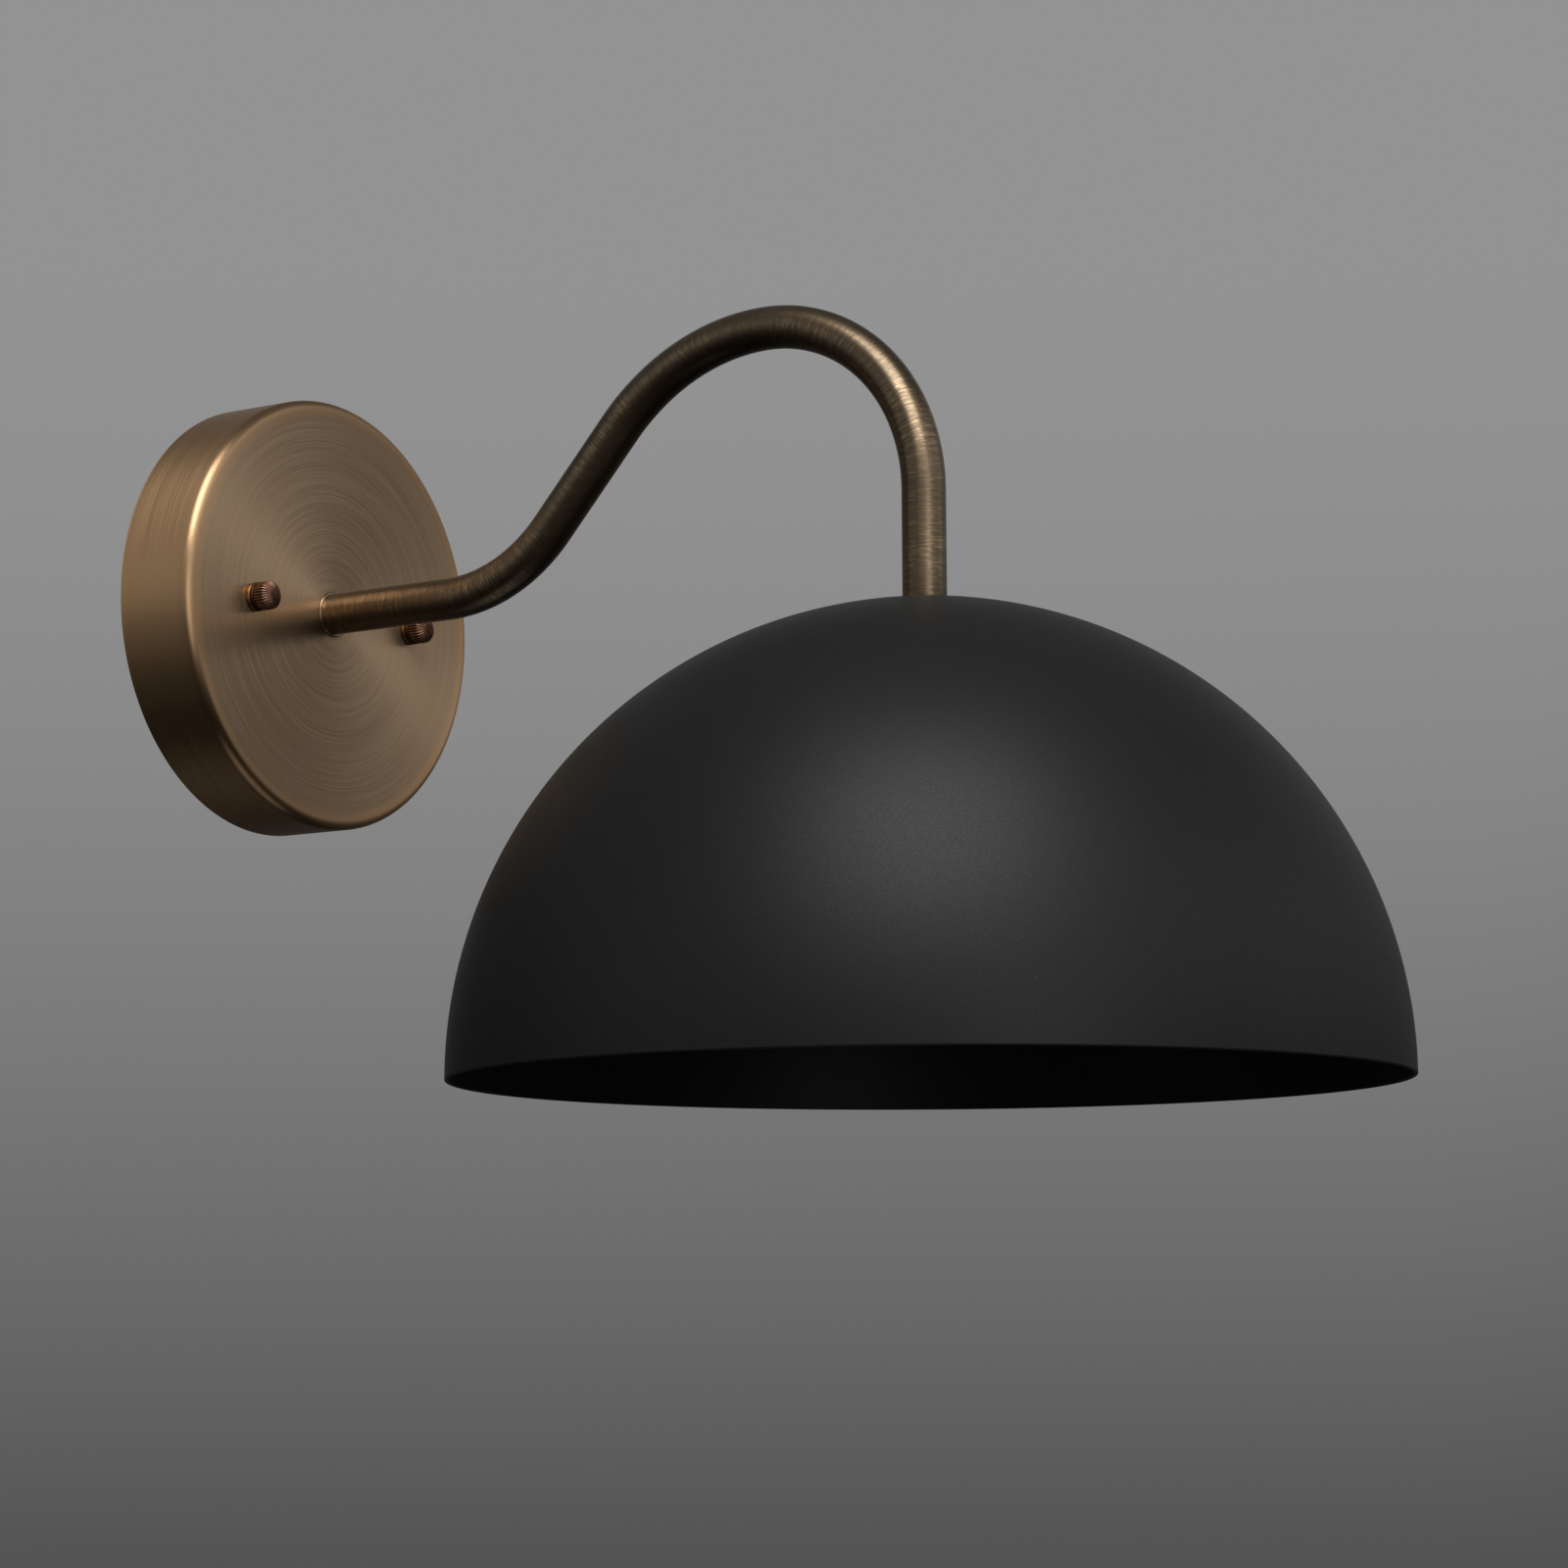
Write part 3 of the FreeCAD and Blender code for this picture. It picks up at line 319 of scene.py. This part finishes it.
def black_powder():
    """Matt black powder coat: fine orange peel, a sandy grain and a few pale specks."""
    finish = Finish("black_powder_coat", roughness=0.6)
    place = finish.place()
    peel = finish.noise(place, 750, 2, 0.5)
    grain = finish.noise(place, 2600, 3, 0.7)
    cloud = finish.noise(place, 22, 2)
    cells = finish.node("TexVoronoi", {"Vector": place, "Scale": 210.0})
    pick_cell = finish.node("SeparateXYZ", {0: cells.outputs["Color"]}).outputs[0]
    dot = finish.between(cells.outputs["Distance"], 0.030, 0.018)
    speck = finish.maths("MULTIPLY", dot, finish.maths("GREATER_THAN", pick_cell, 0.86))
    dark, light = (0.0060, 0.0060, 0.0061), (0.0125, 0.0125, 0.0127)
    colour = finish.blend(finish.between(grain, 0.35, 0.7), dark, light)
    colour = finish.blend(finish.between(cloud, 0.35, 0.7, 0, 0.25), colour, (0.011, 0.011, 0.011))
    colour = finish.blend(finish.maths("MULTIPLY", speck, 0.8), colour, (0.115, 0.113, 0.108))
    finish.link(colour, "Base Color")
    finish.link(finish.between(grain, 0.3, 0.7, 0.54, 0.44), "Roughness")
    below = finish.bump(peel, 0.12, 0.00012)
    finish.link(finish.bump(grain, 0.28, 0.00004, below), "Normal")
    finish.set("Specular IOR Level", 0.25)
    return finish.material


def plated_steel(name="zinc_plated_steel", dark=(0.36, 0.37, 0.39), light=(0.58, 0.59, 0.61)):
    """Zinc plate: a faint spangle, drawn lines and dull handling marks."""
    finish = Finish(name, metallic=1, roughness=0.38)
    place = finish.place()
    spangle = finish.node("TexVoronoi", {"Vector": place, "Scale": 520.0}).outputs["Color"]
    tone = finish.node("SeparateXYZ", {0: spangle}).outputs[0]
    smear = finish.noise(place, 90, 4, 0.6)
    scratch = finish.noise(finish.stretched(place, (420, 3600, 3600)), 1, 3, 0.6)
    colour = finish.blend(finish.between(smear, 0.3, 0.7), dark, light)
    colour = finish.blend(finish.maths("MULTIPLY", tone, 0.18), colour, (0.66, 0.65, 0.60))
    finish.link(colour, "Base Color")
    finish.link(finish.between(smear, 0.3, 0.75, 0.5, 0.3), "Roughness")
    finish.link(finish.bump(scratch, 0.16, 0.00002), "Normal")
    return finish.material


def pressed_brass(name, dark, light, roughness=0.33):
    """Drawn or pressed metal between two colours, with fine drawing lines along Z."""
    finish = Finish(name, metallic=1, roughness=roughness)
    place = finish.place()
    patch = finish.noise(place, 160, 4, 0.6)
    drawn = finish.noise(finish.stretched(place, (300, 300, 3200)), 1, 3, 0.6)
    finish.link(finish.blend(finish.between(patch, 0.3, 0.72), dark, light), "Base Color")
    finish.link(finish.between(patch, 0.3, 0.7, roughness + 0.1, roughness - 0.08), "Roughness")
    finish.link(finish.bump(drawn, 0.14, 0.00002), "Normal")
    return finish.material


def moulded(name, dark, light, roughness=0.4, grain_scale=1800, grain_depth=0.00003):
    """Moulded plastic or phenolic: slight flow marks and a fine mould texture."""
    finish = Finish(name, roughness=roughness)
    place = finish.place()
    flow = finish.noise(place, 60, 3, 0.55)
    grain = finish.noise(place, grain_scale, 2, 0.6)
    finish.link(finish.blend(finish.between(flow, 0.3, 0.7), dark, light), "Base Color")
    finish.link(finish.between(grain, 0.3, 0.7, roughness + 0.06, roughness - 0.06), "Roughness")
    finish.link(finish.bump(grain, 0.2, grain_depth), "Normal")
    return finish.material


def glazed_ceramic():
    """Off-white glaze, slightly uneven in tint, with fine pits."""
    finish = Finish("glazed_ceramic", roughness=0.22)
    place = finish.place()
    pits = finish.noise(place, 900, 3, 0.6)
    tint = finish.noise(place, 70, 3)
    colour = finish.blend(finish.between(tint, 0.3, 0.7), (0.72, 0.70, 0.65), (0.83, 0.82, 0.78))
    finish.link(colour, "Base Color")
    finish.link(finish.between(pits, 0.25, 0.5, 0.45, 0.2), "Roughness")
    finish.link(finish.bump(pits, 0.12, 0.00004), "Normal")
    finish.set("Coat Weight", 0.4)
    return finish.material


def opal_glass():
    """White coated bulb glass: pale, glossy, and a little see-through."""
    finish = Finish("opal_bulb_glass", roughness=0.2)
    place = finish.place()
    cloud = finish.noise(place, 45, 3)
    dust = finish.noise(place, 2200, 2)
    colour = finish.blend(finish.between(cloud, 0.3, 0.7), (0.80, 0.79, 0.76), (0.88, 0.875, 0.85))
    finish.link(colour, "Base Color")
    finish.link(finish.between(dust, 0.3, 0.7, 0.28, 0.16), "Roughness")
    finish.set("Subsurface Weight", 0.25)
    finish.set("Subsurface Radius", (0.006, 0.006, 0.0055))
    finish.set("Subsurface Scale", 0.5)
    finish.set("Coat Weight", 0.6)
    finish.set("Coat Roughness", 0.06)
    return finish.material


def bare_copper():
    """Copper wire, browned in patches."""
    finish = Finish("bare_copper", metallic=1, roughness=0.32)
    place = finish.place()
    patch = finish.noise(place, 240, 4, 0.6)
    colour = finish.blend(finish.between(patch, 0.35, 0.75), (0.72, 0.33, 0.19), (0.40, 0.20, 0.12))
    finish.link(colour, "Base Color")
    finish.link(finish.between(patch, 0.3, 0.7, 0.26, 0.45), "Roughness")
    return finish.material


finish_makers = {
    "antique_brass": spun_brass,
    "dark_bronze": cross_brushed_bronze,
    "finial_bronze": finial_bronze,
    "finial_brass": ring_brass,
    "black_powder": black_powder,
    "zinc_steel": plated_steel,
    "ground_green": lambda: pressed_brass("green_screw", (0.02, 0.16, 0.07), (0.05, 0.28, 0.12), 0.36),
    "bare_copper": bare_copper,
    "bushing_plastic": lambda: moulded("bushing_nylon", (0.62, 0.61, 0.56), (0.72, 0.71, 0.66), 0.42),
    "black_phenolic": lambda: moulded("black_phenolic", (0.014, 0.013, 0.013), (0.024, 0.022, 0.021), 0.3),
    "white_ceramic": glazed_ceramic,
    "shell_brass": lambda: pressed_brass("shell_brass", (0.55, 0.38, 0.15), (0.70, 0.50, 0.22)),
    "contact_bronze": lambda: pressed_brass("contact_bronze", (0.46, 0.27, 0.14), (0.62, 0.39, 0.21)),
    "frosted_glass": opal_glass,
    "nickel_cap": lambda: pressed_brass("nickel_cap", (0.52, 0.50, 0.46), (0.68, 0.66, 0.61), 0.27),
    "black_glass": lambda: moulded("black_glass", (0.010, 0.010, 0.011), (0.016, 0.016, 0.018), 0.16),
    "solder": lambda: pressed_brass("solder", (0.42, 0.43, 0.44), (0.58, 0.59, 0.60), 0.42),
    "wire_black": lambda: moulded("wire_black", (0.015, 0.015, 0.016), (0.03, 0.03, 0.032), 0.38),
    "wire_white": lambda: moulded("wire_white", (0.66, 0.65, 0.62), (0.76, 0.75, 0.73), 0.38),
    "connector_plastic": lambda: moulded("connector_plastic", (0.55, 0.20, 0.03), (0.68, 0.28, 0.05), 0.4),
}
finishes = {slot: make() for slot, make in finish_makers.items()}


# ---- turned pieces ----

def out_of_wall(centre, radius, out):
    return Vector((centre[0] + radius * MM, -out * MM, centre[2]))


def lathe(outline, centre, steps, closed=False):
    """Turns an outline, (radius, distance out of the wall) in mm, round an axis square to the wall."""
    put_down()
    bpy.ops.mesh.primitive_plane_add(size=MM, location=out_of_wall(centre, *outline[0]))
    piece = started()
    bpy.ops.mesh.select_mode(type="VERT")
    bpy.ops.mesh.select_all(action="SELECT")
    bpy.ops.mesh.merge(type="CENTER")
    corners = list(outline) + (list(outline[:1]) if closed else [])
    for before, after in zip(corners, corners[1:]):
        push(out_of_wall(centre, *after) - out_of_wall(centre, *before))
    bpy.ops.mesh.select_all(action="SELECT")
    bpy.ops.mesh.spin(steps=steps, angle=2 * math.pi, center=centre, axis=(0, 1, 0))
    weld()
    return piece


def turned_place(point, centre):
    """(radius, distance out of the wall) in mm of a point on a turned piece."""
    return math.hypot(point.x - centre[0], point.z - centre[2]) / MM, -point.y / MM


def soften(piece, centre, radius, out, size, segments=3):
    """Rounds the edge that runs round a turned piece at this radius and distance out of the wall."""
    def on_edge(point):
        here = turned_place(point, centre)
        return abs(here[0] - radius) < 0.02 and abs(here[1] - out) < 0.02
    pick_loop(piece, on_edge)
    bpy.ops.mesh.bevel(offset=size * MM, offset_type="OFFSET", segments=segments, profile=0.5)


def arc(start, halfway, end, count):
    """Points in mm along the circle through three points, without its start."""
    (ax, ay), (bx, by), (cx, cy) = start, halfway, end
    twice_area = 2 * (ax * (by - cy) + bx * (cy - ay) + cx * (ay - by))
    squares = [x * x + y * y for x, y in (start, halfway, end)]
    centre_x = (squares[0] * (by - cy) + squares[1] * (cy - ay) + squares[2] * (ay - by)) / twice_area
    centre_y = (squares[0] * (cx - bx) + squares[1] * (ax - cx) + squares[2] * (bx - ax)) / twice_area
    radius = math.hypot(ax - centre_x, ay - centre_y)
    first = math.atan2(ay - centre_y, ax - centre_x)
    last = math.atan2(cy - centre_y, cx - centre_x)
    angles = [first + (last - first) * step / count for step in range(1, count + 1)]
    return [(centre_x + radius * math.cos(angle), centre_y + radius * math.sin(angle)) for angle in angles]


# ---- wall end ----

STUD_SIDE = 34.925 * MM
CANOPY_DEPTH = 25.4
HUB_HOLE = 5.05


def make_canopy():
    """Spun cup: a closed cylinder with its back taken off, its front edge rolled and its wall thickened."""
    low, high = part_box("canopy")
    radius = (high.x - low.x) / 2
    edge_radius = 2.5 * MM
    wall = 1.0 * MM
    narrow = 0.35 * MM
    put_down()
    bpy.ops.mesh.primitive_cylinder_add(vertices=256, radius=radius, depth=high.y - low.y,
                                        location=(0, (low.y + high.y) / 2, 0), rotation=(math.pi / 2, 0, 0))
    cup = started()
    drop_faces(cup, lambda face: face.normal.y > 0.9)
    pick_loop(cup, lambda point: point.y < low.y + narrow)
    bpy.ops.mesh.bevel(offset=edge_radius, offset_type="OFFSET", segments=10, profile=0.5)
    pick(cup, "FACE", lambda face: face.normal.y < -0.999)
    bpy.ops.mesh.inset(thickness=narrow)
    bpy.ops.mesh.inset(thickness=radius - edge_radius - narrow - HUB_HOLE * MM)
    bpy.ops.mesh.delete(type="FACE")
    bpy.ops.mesh.select_all(action="SELECT")
    bpy.ops.mesh.bisect(plane_co=(0, low.y + edge_radius + narrow, 0), plane_no=(0, 1, 0))
    weld()
    modified(cup, "SOLIDIFY", thickness=wall, offset=-1, use_even_offset=True, use_rim=True)
    for side in (-STUD_SIDE, STUD_SIDE):
        drill(cup, (side, low.y, 0), 2.53 * MM, 6 * MM)
    smooth(cup)
    return placed(cup, "spun_canopy", "canopy")


def drill(piece, centre, radius, depth):
    """Cuts a round hole square to the wall."""
    put_down()
    bpy.ops.mesh.primitive_cylinder_add(vertices=48, radius=radius, depth=depth, location=centre,
                                        rotation=(math.pi / 2, 0, 0))
    bit = bpy.context.object
    modified(piece, "BOOLEAN", operation="DIFFERENCE", object=bit, solver="EXACT")
    bpy.data.objects.remove(bit)


def make_seat_ring():
    """Thin brass lip that the arm's root stands on."""
    lip_radius, lip, step_radius, height = 6.7, 0.6, 5.5, 1.1
    outline = [(HUB_HOLE, 0), (lip_radius, 0), (lip_radius, lip), (step_radius, lip), (step_radius, height),
               (HUB_HOLE, height)]
    centre = (0, 0, 0)
    ring = lathe([(radius, CANOPY_DEPTH + out) for radius, out in outline], centre, 128, closed=True)
    for out in (0, lip):
        soften(ring, centre, lip_radius, CANOPY_DEPTH + out, lip / 2 - 0.01, 5)
    smooth(ring)
    return placed(ring, "arm_root_ring", "arm_seat_ring")


def make_finial_ring(side):
    """Brass washer under a finial, its front edge eased."""
    node = "finial_ring_" + side
    low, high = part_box(node)
    centre = ((low.x + high.x) / 2, 0, 0)
    radius, bore = (high.x - low.x) / 2 / MM, 2.38
    back, front = -high.y / MM, -low.y / MM
    outline = [(bore, back), (radius, back), (radius, front), (bore, front)]
    ring = lathe(outline, centre, 96, closed=True)
    soften(ring, centre, radius, front, 0.3, 4)
    soften(ring, centre, radius, back, 0.12, 2)
    soften(ring, centre, bore, front, 0.12, 2)
    smooth(ring)
    return placed(ring, "brass_washer_" + side, node)


def make_finial(side):
    """Knurled cap nut: flange, waist, a barrel and dome with straight ridges, and a small tip."""
    node = "finial_" + side
    low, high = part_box(node)
    centre = ((low.x + high.x) / 2, 0, 0)
    base = -high.y / MM
    radius, waist, bore, bore_depth = 4.15, 3.6, 2.18, 5.0
    flange, barrel, dome, tip = 1.2, 1.6, 4.7, 6.7
    ridges, spokes_each, knurl_depth = 30, 8, 0.3
    dome_curve = arc((radius, dome), (0.78 * radius, (dome + tip) / 2), (0.35, tip - 0.175), 8)
    outline = [(0, bore_depth), (bore, bore_depth), (bore, 0), (radius, 0), (radius, flange),
               (waist, flange), (waist, barrel), (radius, barrel), (radius, dome), *dome_curve,
               (0.2, tip - 0.04), (0, tip)]
    cap = lathe([(out_to, base + out) for out_to, out in outline], centre, ridges * spokes_each)
    soften(cap, centre, radius, base, 0.25, 3)
    soften(cap, centre, radius, base + flange, 0.25, 3)
    soften(cap, centre, radius, base + barrel, 0.2, 3)

    def spoke(point):
        """0 on a ridge, up to half of spokes_each in the groove between two."""
        turn = math.atan2(point.z - centre[2], point.x - centre[0]) / (2 * math.pi) * ridges
        return round(abs(turn - round(turn)) * spokes_each)

    def knurled(point):
        from_axis, out = turned_place(point, centre)
        return out > base + barrel + 0.05 and from_axis > 1.5

    for level, share in ((2, 0.45), (3, 0.85), (4, 1.0)):
        pick(cap, "VERT", lambda vertex: knurled(vertex.co) and spoke(vertex.co) == level)
        shrink = 1 - knurl_depth * share / radius
        bpy.ops.transform.resize(value=(shrink, 1, shrink), center_override=centre)
    bpy.ops.object.mode_set(mode="OBJECT")
    crest = cap.data.attributes.new("crest", "FLOAT", "POINT")
    for vertex in cap.data.vertices:
        if knurled(vertex.co):
            crest.data[vertex.index].value = max(0.0, 1 - spoke(vertex.co) / 3)
    smooth(cap, 24)
    return placed(cap, "knurled_finial_" + side, node)


# ---- arm ----

ARM_START = 26.5
TUBE_RADIUS, TUBE_WALL, TUBE_EDGE = 5.98, 1.5, 0.45
# Along the arm from the canopy: (length, 0) is a straight run, (radius, degrees) a bend,
# upwards where positive.
ARM_LINE = ((41.9, 0), (51.0, 47.5), (35.0, 0), (67.0, -47.5), (51.5, -90), (31.0, 0))


def ahead(heading):
    return Vector((0, -math.cos(heading), math.sin(heading)))


def above(heading):
    return Vector((0, math.sin(heading), math.cos(heading)))


def arm_stretches():
    """Each stretch: start, heading, bend centre or None, size, turn, and the arm's length before it."""
    place, heading, travelled = Vector((0, -ARM_START * MM, 0)), 0.0, 0.0
    for size, degrees in ARM_LINE:
        size, turn = size * MM, math.radians(degrees)
        if turn:
            centre = place + above(heading) * math.copysign(size, turn)
            yield place, heading, centre, size, turn, travelled
            heading += turn
            place = centre - above(heading) * math.copysign(size, turn)
            travelled += size * abs(turn)
        else:
            yield place, heading, None, size, turn, travelled
            place = place + ahead(heading) * size
            travelled += size


def straightened(point):
    """A point of the arm as (along, across, above) its line if it were straight, and the heading there."""
    slack = 0.02 * MM
    for place, heading, centre, size, turn, travelled in arm_stretches():
        if centre is None:
            offset = point - place
            along = offset.dot(ahead(heading))
            high = offset.dot(above(heading))
            turned_by = 0.0
            fits = -slack <= along <= size + slack
        else:
            bend = math.copysign(1, turn)
            spoke = point - centre
            swung = math.atan2(spoke.dot(ahead(heading)), -bend * spoke.dot(above(heading)))
            turned_by = bend * swung
            along = swung * size
            high = bend * (size - math.hypot(spoke.y, spoke.z))
            fits = -slack <= along <= abs(turn) * size + slack
        if fits and abs(high) < 2 * TUBE_RADIUS * MM:
            return (travelled + along, point.x, high), ahead(heading + turned_by)
    raise ValueError("a point of the arm lies off its line")


def make_arm():
    """One tube: a circle pushed along each straight run and spun round each bend."""
    put_down()
    bpy.ops.mesh.primitive_circle_add(vertices=96, radius=TUBE_RADIUS * MM, fill_type="NOTHING",
                                      location=(0, -ARM_START * MM, 0), rotation=(math.pi / 2, 0, 0))
    arm = started()
    bpy.ops.mesh.select_all(action="SELECT")
    for place, heading, centre, size, turn, travelled in arm_stretches():
        if centre is None:
            for step in range(4):
                push(ahead(heading) * size / 4)
        else:
            steps = math.ceil(abs(math.degrees(turn)) / 1.5)
            bpy.ops.mesh.spin(steps=steps, angle=turn, center=centre, axis=(1, 0, 0))
    weld()
    modified(arm, "SOLIDIFY", thickness=TUBE_WALL * MM, offset=-1, use_even_offset=True, use_rim=True)
    take(arm)
    start, end = -ARM_START * MM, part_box("arm_tube")[0].z
    centre_y = middle("shade").y
    outside = (TUBE_RADIUS - 0.2) * MM

    def on_root(point):
        return abs(point.y - start) < 1e-5 and math.hypot(point.x, point.z) > outside

    def on_tip(point):
        return abs(point.z - end) < 1e-5 and math.hypot(point.x, point.y - centre_y) > outside

    for on_end in (on_root, on_tip):
        pick_loop(arm, on_end)
        bpy.ops.mesh.bevel(offset=TUBE_EDGE * MM, segments=4, profile=0.5)
    bpy.ops.object.mode_set(mode="OBJECT")
    straight = [straightened(vertex.co) for vertex in arm.data.vertices]
    for number, name in enumerate(("unbent", "arm_line")):
        attribute = arm.data.attributes.new(name, "FLOAT_VECTOR", "POINT")
        attribute.data.foreach_set("vector", [value for entry in straight for value in entry[number]])
    smooth(arm)
    return placed(arm, "swan_neck_arm", "arm_tube")


# ---- shade ----

def make_shade():
    """Half sphere with a flat crown: a sphere cut at its middle and near its top, then given a wall."""
    low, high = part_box("shade")
    centre = (low + high) / 2
    inside_box = 0.01 * MM
    radius = (high.x - low.x) / 2 - inside_box
    band = 0.5 * MM
    wall = 1.0 * MM
    centre.z = low.z + band
    put_down()
    bpy.ops.mesh.primitive_uv_sphere_add(segments=256, ring_count=160, radius=radius, location=centre)
    dome = started()
    for height, keep_above in ((centre.z, True), (high.z, False)):
        bpy.ops.mesh.select_all(action="SELECT")
        bpy.ops.mesh.bisect(plane_co=(0, 0, height), plane_no=(0, 0, 1), clear_inner=keep_above,
                            clear_outer=not keep_above)
    weld()
    pick(dome, "EDGE", lambda edge: edge.is_boundary and edge.verts[0].co.z < centre.z + band)
    push((0, 0, -band))
    pick(dome, "EDGE", lambda edge: edge.is_boundary and edge.verts[0].co.z > high.z - band)
    bpy.ops.mesh.edge_face_add()
    bpy.ops.mesh.inset(thickness=narrow_crown(centre, radius, high.z))
    bpy.ops.mesh.delete(type="FACE")
    weld()
    modified(dome, "SOLIDIFY", thickness=wall, offset=-1, use_even_offset=True, use_rim=True)
    take(dome)
    pick_loop(dome, lambda point: abs(point.z - low.z) < 1e-5)
    bpy.ops.mesh.bevel(offset=0.45 * wall, offset_type="OFFSET", segments=5, profile=0.5)
    smooth(dome)
    return placed(dome, "dome_shade", "shade")


def narrow_crown(centre, radius, top):
    """How far the flat crown runs in from its edge to the nipple hole."""
    return math.sqrt(radius ** 2 - (top - centre.z) ** 2) - HUB_HOLE * MM


# ---- stage, camera and light ----

def make_stage():
    put_down()
    bpy.ops.mesh.primitive_circle_add(vertices=128, radius=0.95, fill_type="NGON",
                                      location=(0, -0.2, -2.2))
    floor = bpy.context.object
    floor.name = "studio_floor"
    pale = bpy.data.materials.new("pale_floor")
    pale.use_nodes = True
    shader = next(node for node in pale.node_tree.nodes if node.type == "BSDF_PRINCIPLED")
    shader.inputs["Base Color"].default_value = (0.60, 0.60, 0.60, 1)
    shader.inputs["Roughness"].default_value = 0.9
    floor.data.materials.append(pale)


def make_camera():
    """The photograph's view: from the room's left, a little below, looking up past the shade."""
    yaw, pitch, roll = math.radians(55.959), math.radians(7.803), math.radians(-0.282)
    ahead = Vector((math.sin(yaw) * math.cos(pitch), math.cos(yaw) * math.cos(pitch), math.sin(pitch)))
    level = Vector((math.cos(yaw), -math.sin(yaw), 0))
    up = level.cross(ahead)
    right = level * math.cos(roll) + up * math.sin(roll)
    up = up * math.cos(roll) - level * math.sin(roll)
    camera = bpy.data.objects.new("camera", bpy.data.cameras.new("camera"))
    bpy.context.scene.collection.objects.link(camera)
    camera.matrix_world = Matrix((
        (right.x, up.x, -ahead.x, -0.94033),
        (right.y, up.y, -ahead.y, -0.82020),
        (right.z, up.z, -ahead.z, -0.21873),
        (0, 0, 0, 1)))
    camera.data.sensor_width = 36
    camera.data.lens = 36 * 4310.24 / 1600
    bpy.context.scene.camera = camera


def make_key_light():
    data = bpy.data.lights.new("key_light", "AREA")
    data.shape = "SQUARE"
    data.size = 1.5
    data.energy = 44
    light = bpy.data.objects.new("key_light", data)
    bpy.context.scene.collection.objects.link(light)
    direction = Vector((-0.52, -0.36, 0.78)).normalized()
    light.location = Vector((0, -0.15, -0.03)) + direction * 2.2
    light.rotation_euler = direction.to_track_quat("Z", "Y").to_euler()


def make_surroundings():
    """Grey all round, palest just above the horizon, with four soft pale patches."""
    world = bpy.data.worlds.new("studio")
    bpy.context.scene.world = world
    world.use_nodes = True
    tree = world.node_tree
    background = next(node for node in tree.nodes if node.type == "BACKGROUND")
    direction = tree.nodes.new("ShaderNodeTexCoord").outputs["Generated"]
    parts = tree.nodes.new("ShaderNodeSeparateXYZ")
    tree.links.new(direction, parts.inputs[0])
    x, y, z = parts.outputs

    def eased(source, low, high, to_low, to_high):
        node = tree.nodes.new("ShaderNodeMapRange")
        node.interpolation_type = "SMOOTHSTEP"
        tree.links.new(source, node.inputs["Value"])
        for socket, value in zip(("From Min", "From Max", "To Min", "To Max"), (low, high, to_low, to_high)):
            node.inputs[socket].default_value = value
        return node.outputs["Result"]

    def joined(operation, first, second):
        node = tree.nodes.new("ShaderNodeMath")
        node.operation = operation
        tree.links.new(first, node.inputs[0])
        tree.links.new(second, node.inputs[1])
        return node.outputs[0]

    def patch(towards, inner, outer, strength):
        """A round pale patch, full out to the half-angle inner and gone at outer, in degrees."""
        node = tree.nodes.new("ShaderNodeVectorMath")
        node.operation = "DOT_PRODUCT"
        tree.links.new(direction, node.inputs[0])
        node.inputs[1].default_value = Vector(towards).normalized()
        ends = [math.cos(math.radians(angle)) for angle in (outer, inner)]
        return eased(node.outputs["Value"], *ends, 0, strength)

    level = eased(z, -0.22, 0.26, 0.0, 0.29)
    overhead = eased(z, 0.33, 0.75, 1.0, 0.35)
    behind = eased(y, 0.72, 0.92, 1.0, 0.22)
    far_side = eased(x, 0.90, 1.0, 1.0, 0.6)
    for dimmed in (overhead, behind, far_side):
        level = joined("MULTIPLY", level, dimmed)
    level = joined("MAXIMUM", level, eased(z, -0.70, -0.30, 0.010, 0.045))
    for towards, inner, outer, strength in (
            ((-0.55, -0.81, 0.04), 3, 20, 1.9),
            ((-0.82, 0.55, 0.08), 8, 30, 0.12),
            ((0.50, -0.80, 0.35), 8, 26, 0.45),
            ((-0.20, -0.85, 0.48), 10, 36, 0.5)):
        level = joined("ADD", level, patch(towards, inner, outer, strength))
    tree.links.new(level, background.inputs["Strength"])
    background.inputs["Color"].default_value = (1, 1, 1, 1)


make_canopy()
make_seat_ring()
for side in ("left", "right"):
    make_finial_ring(side)
    make_finial(side)
make_arm()
make_shade()
for node, piece in frame["nodes"].items():
    piece.data.materials.clear()
    piece.data.materials.append(finishes[slot_by_node[node]])
make_stage()
make_camera()
make_key_light()
make_surroundings()
bpy.context.scene.view_settings.view_transform = "Standard"
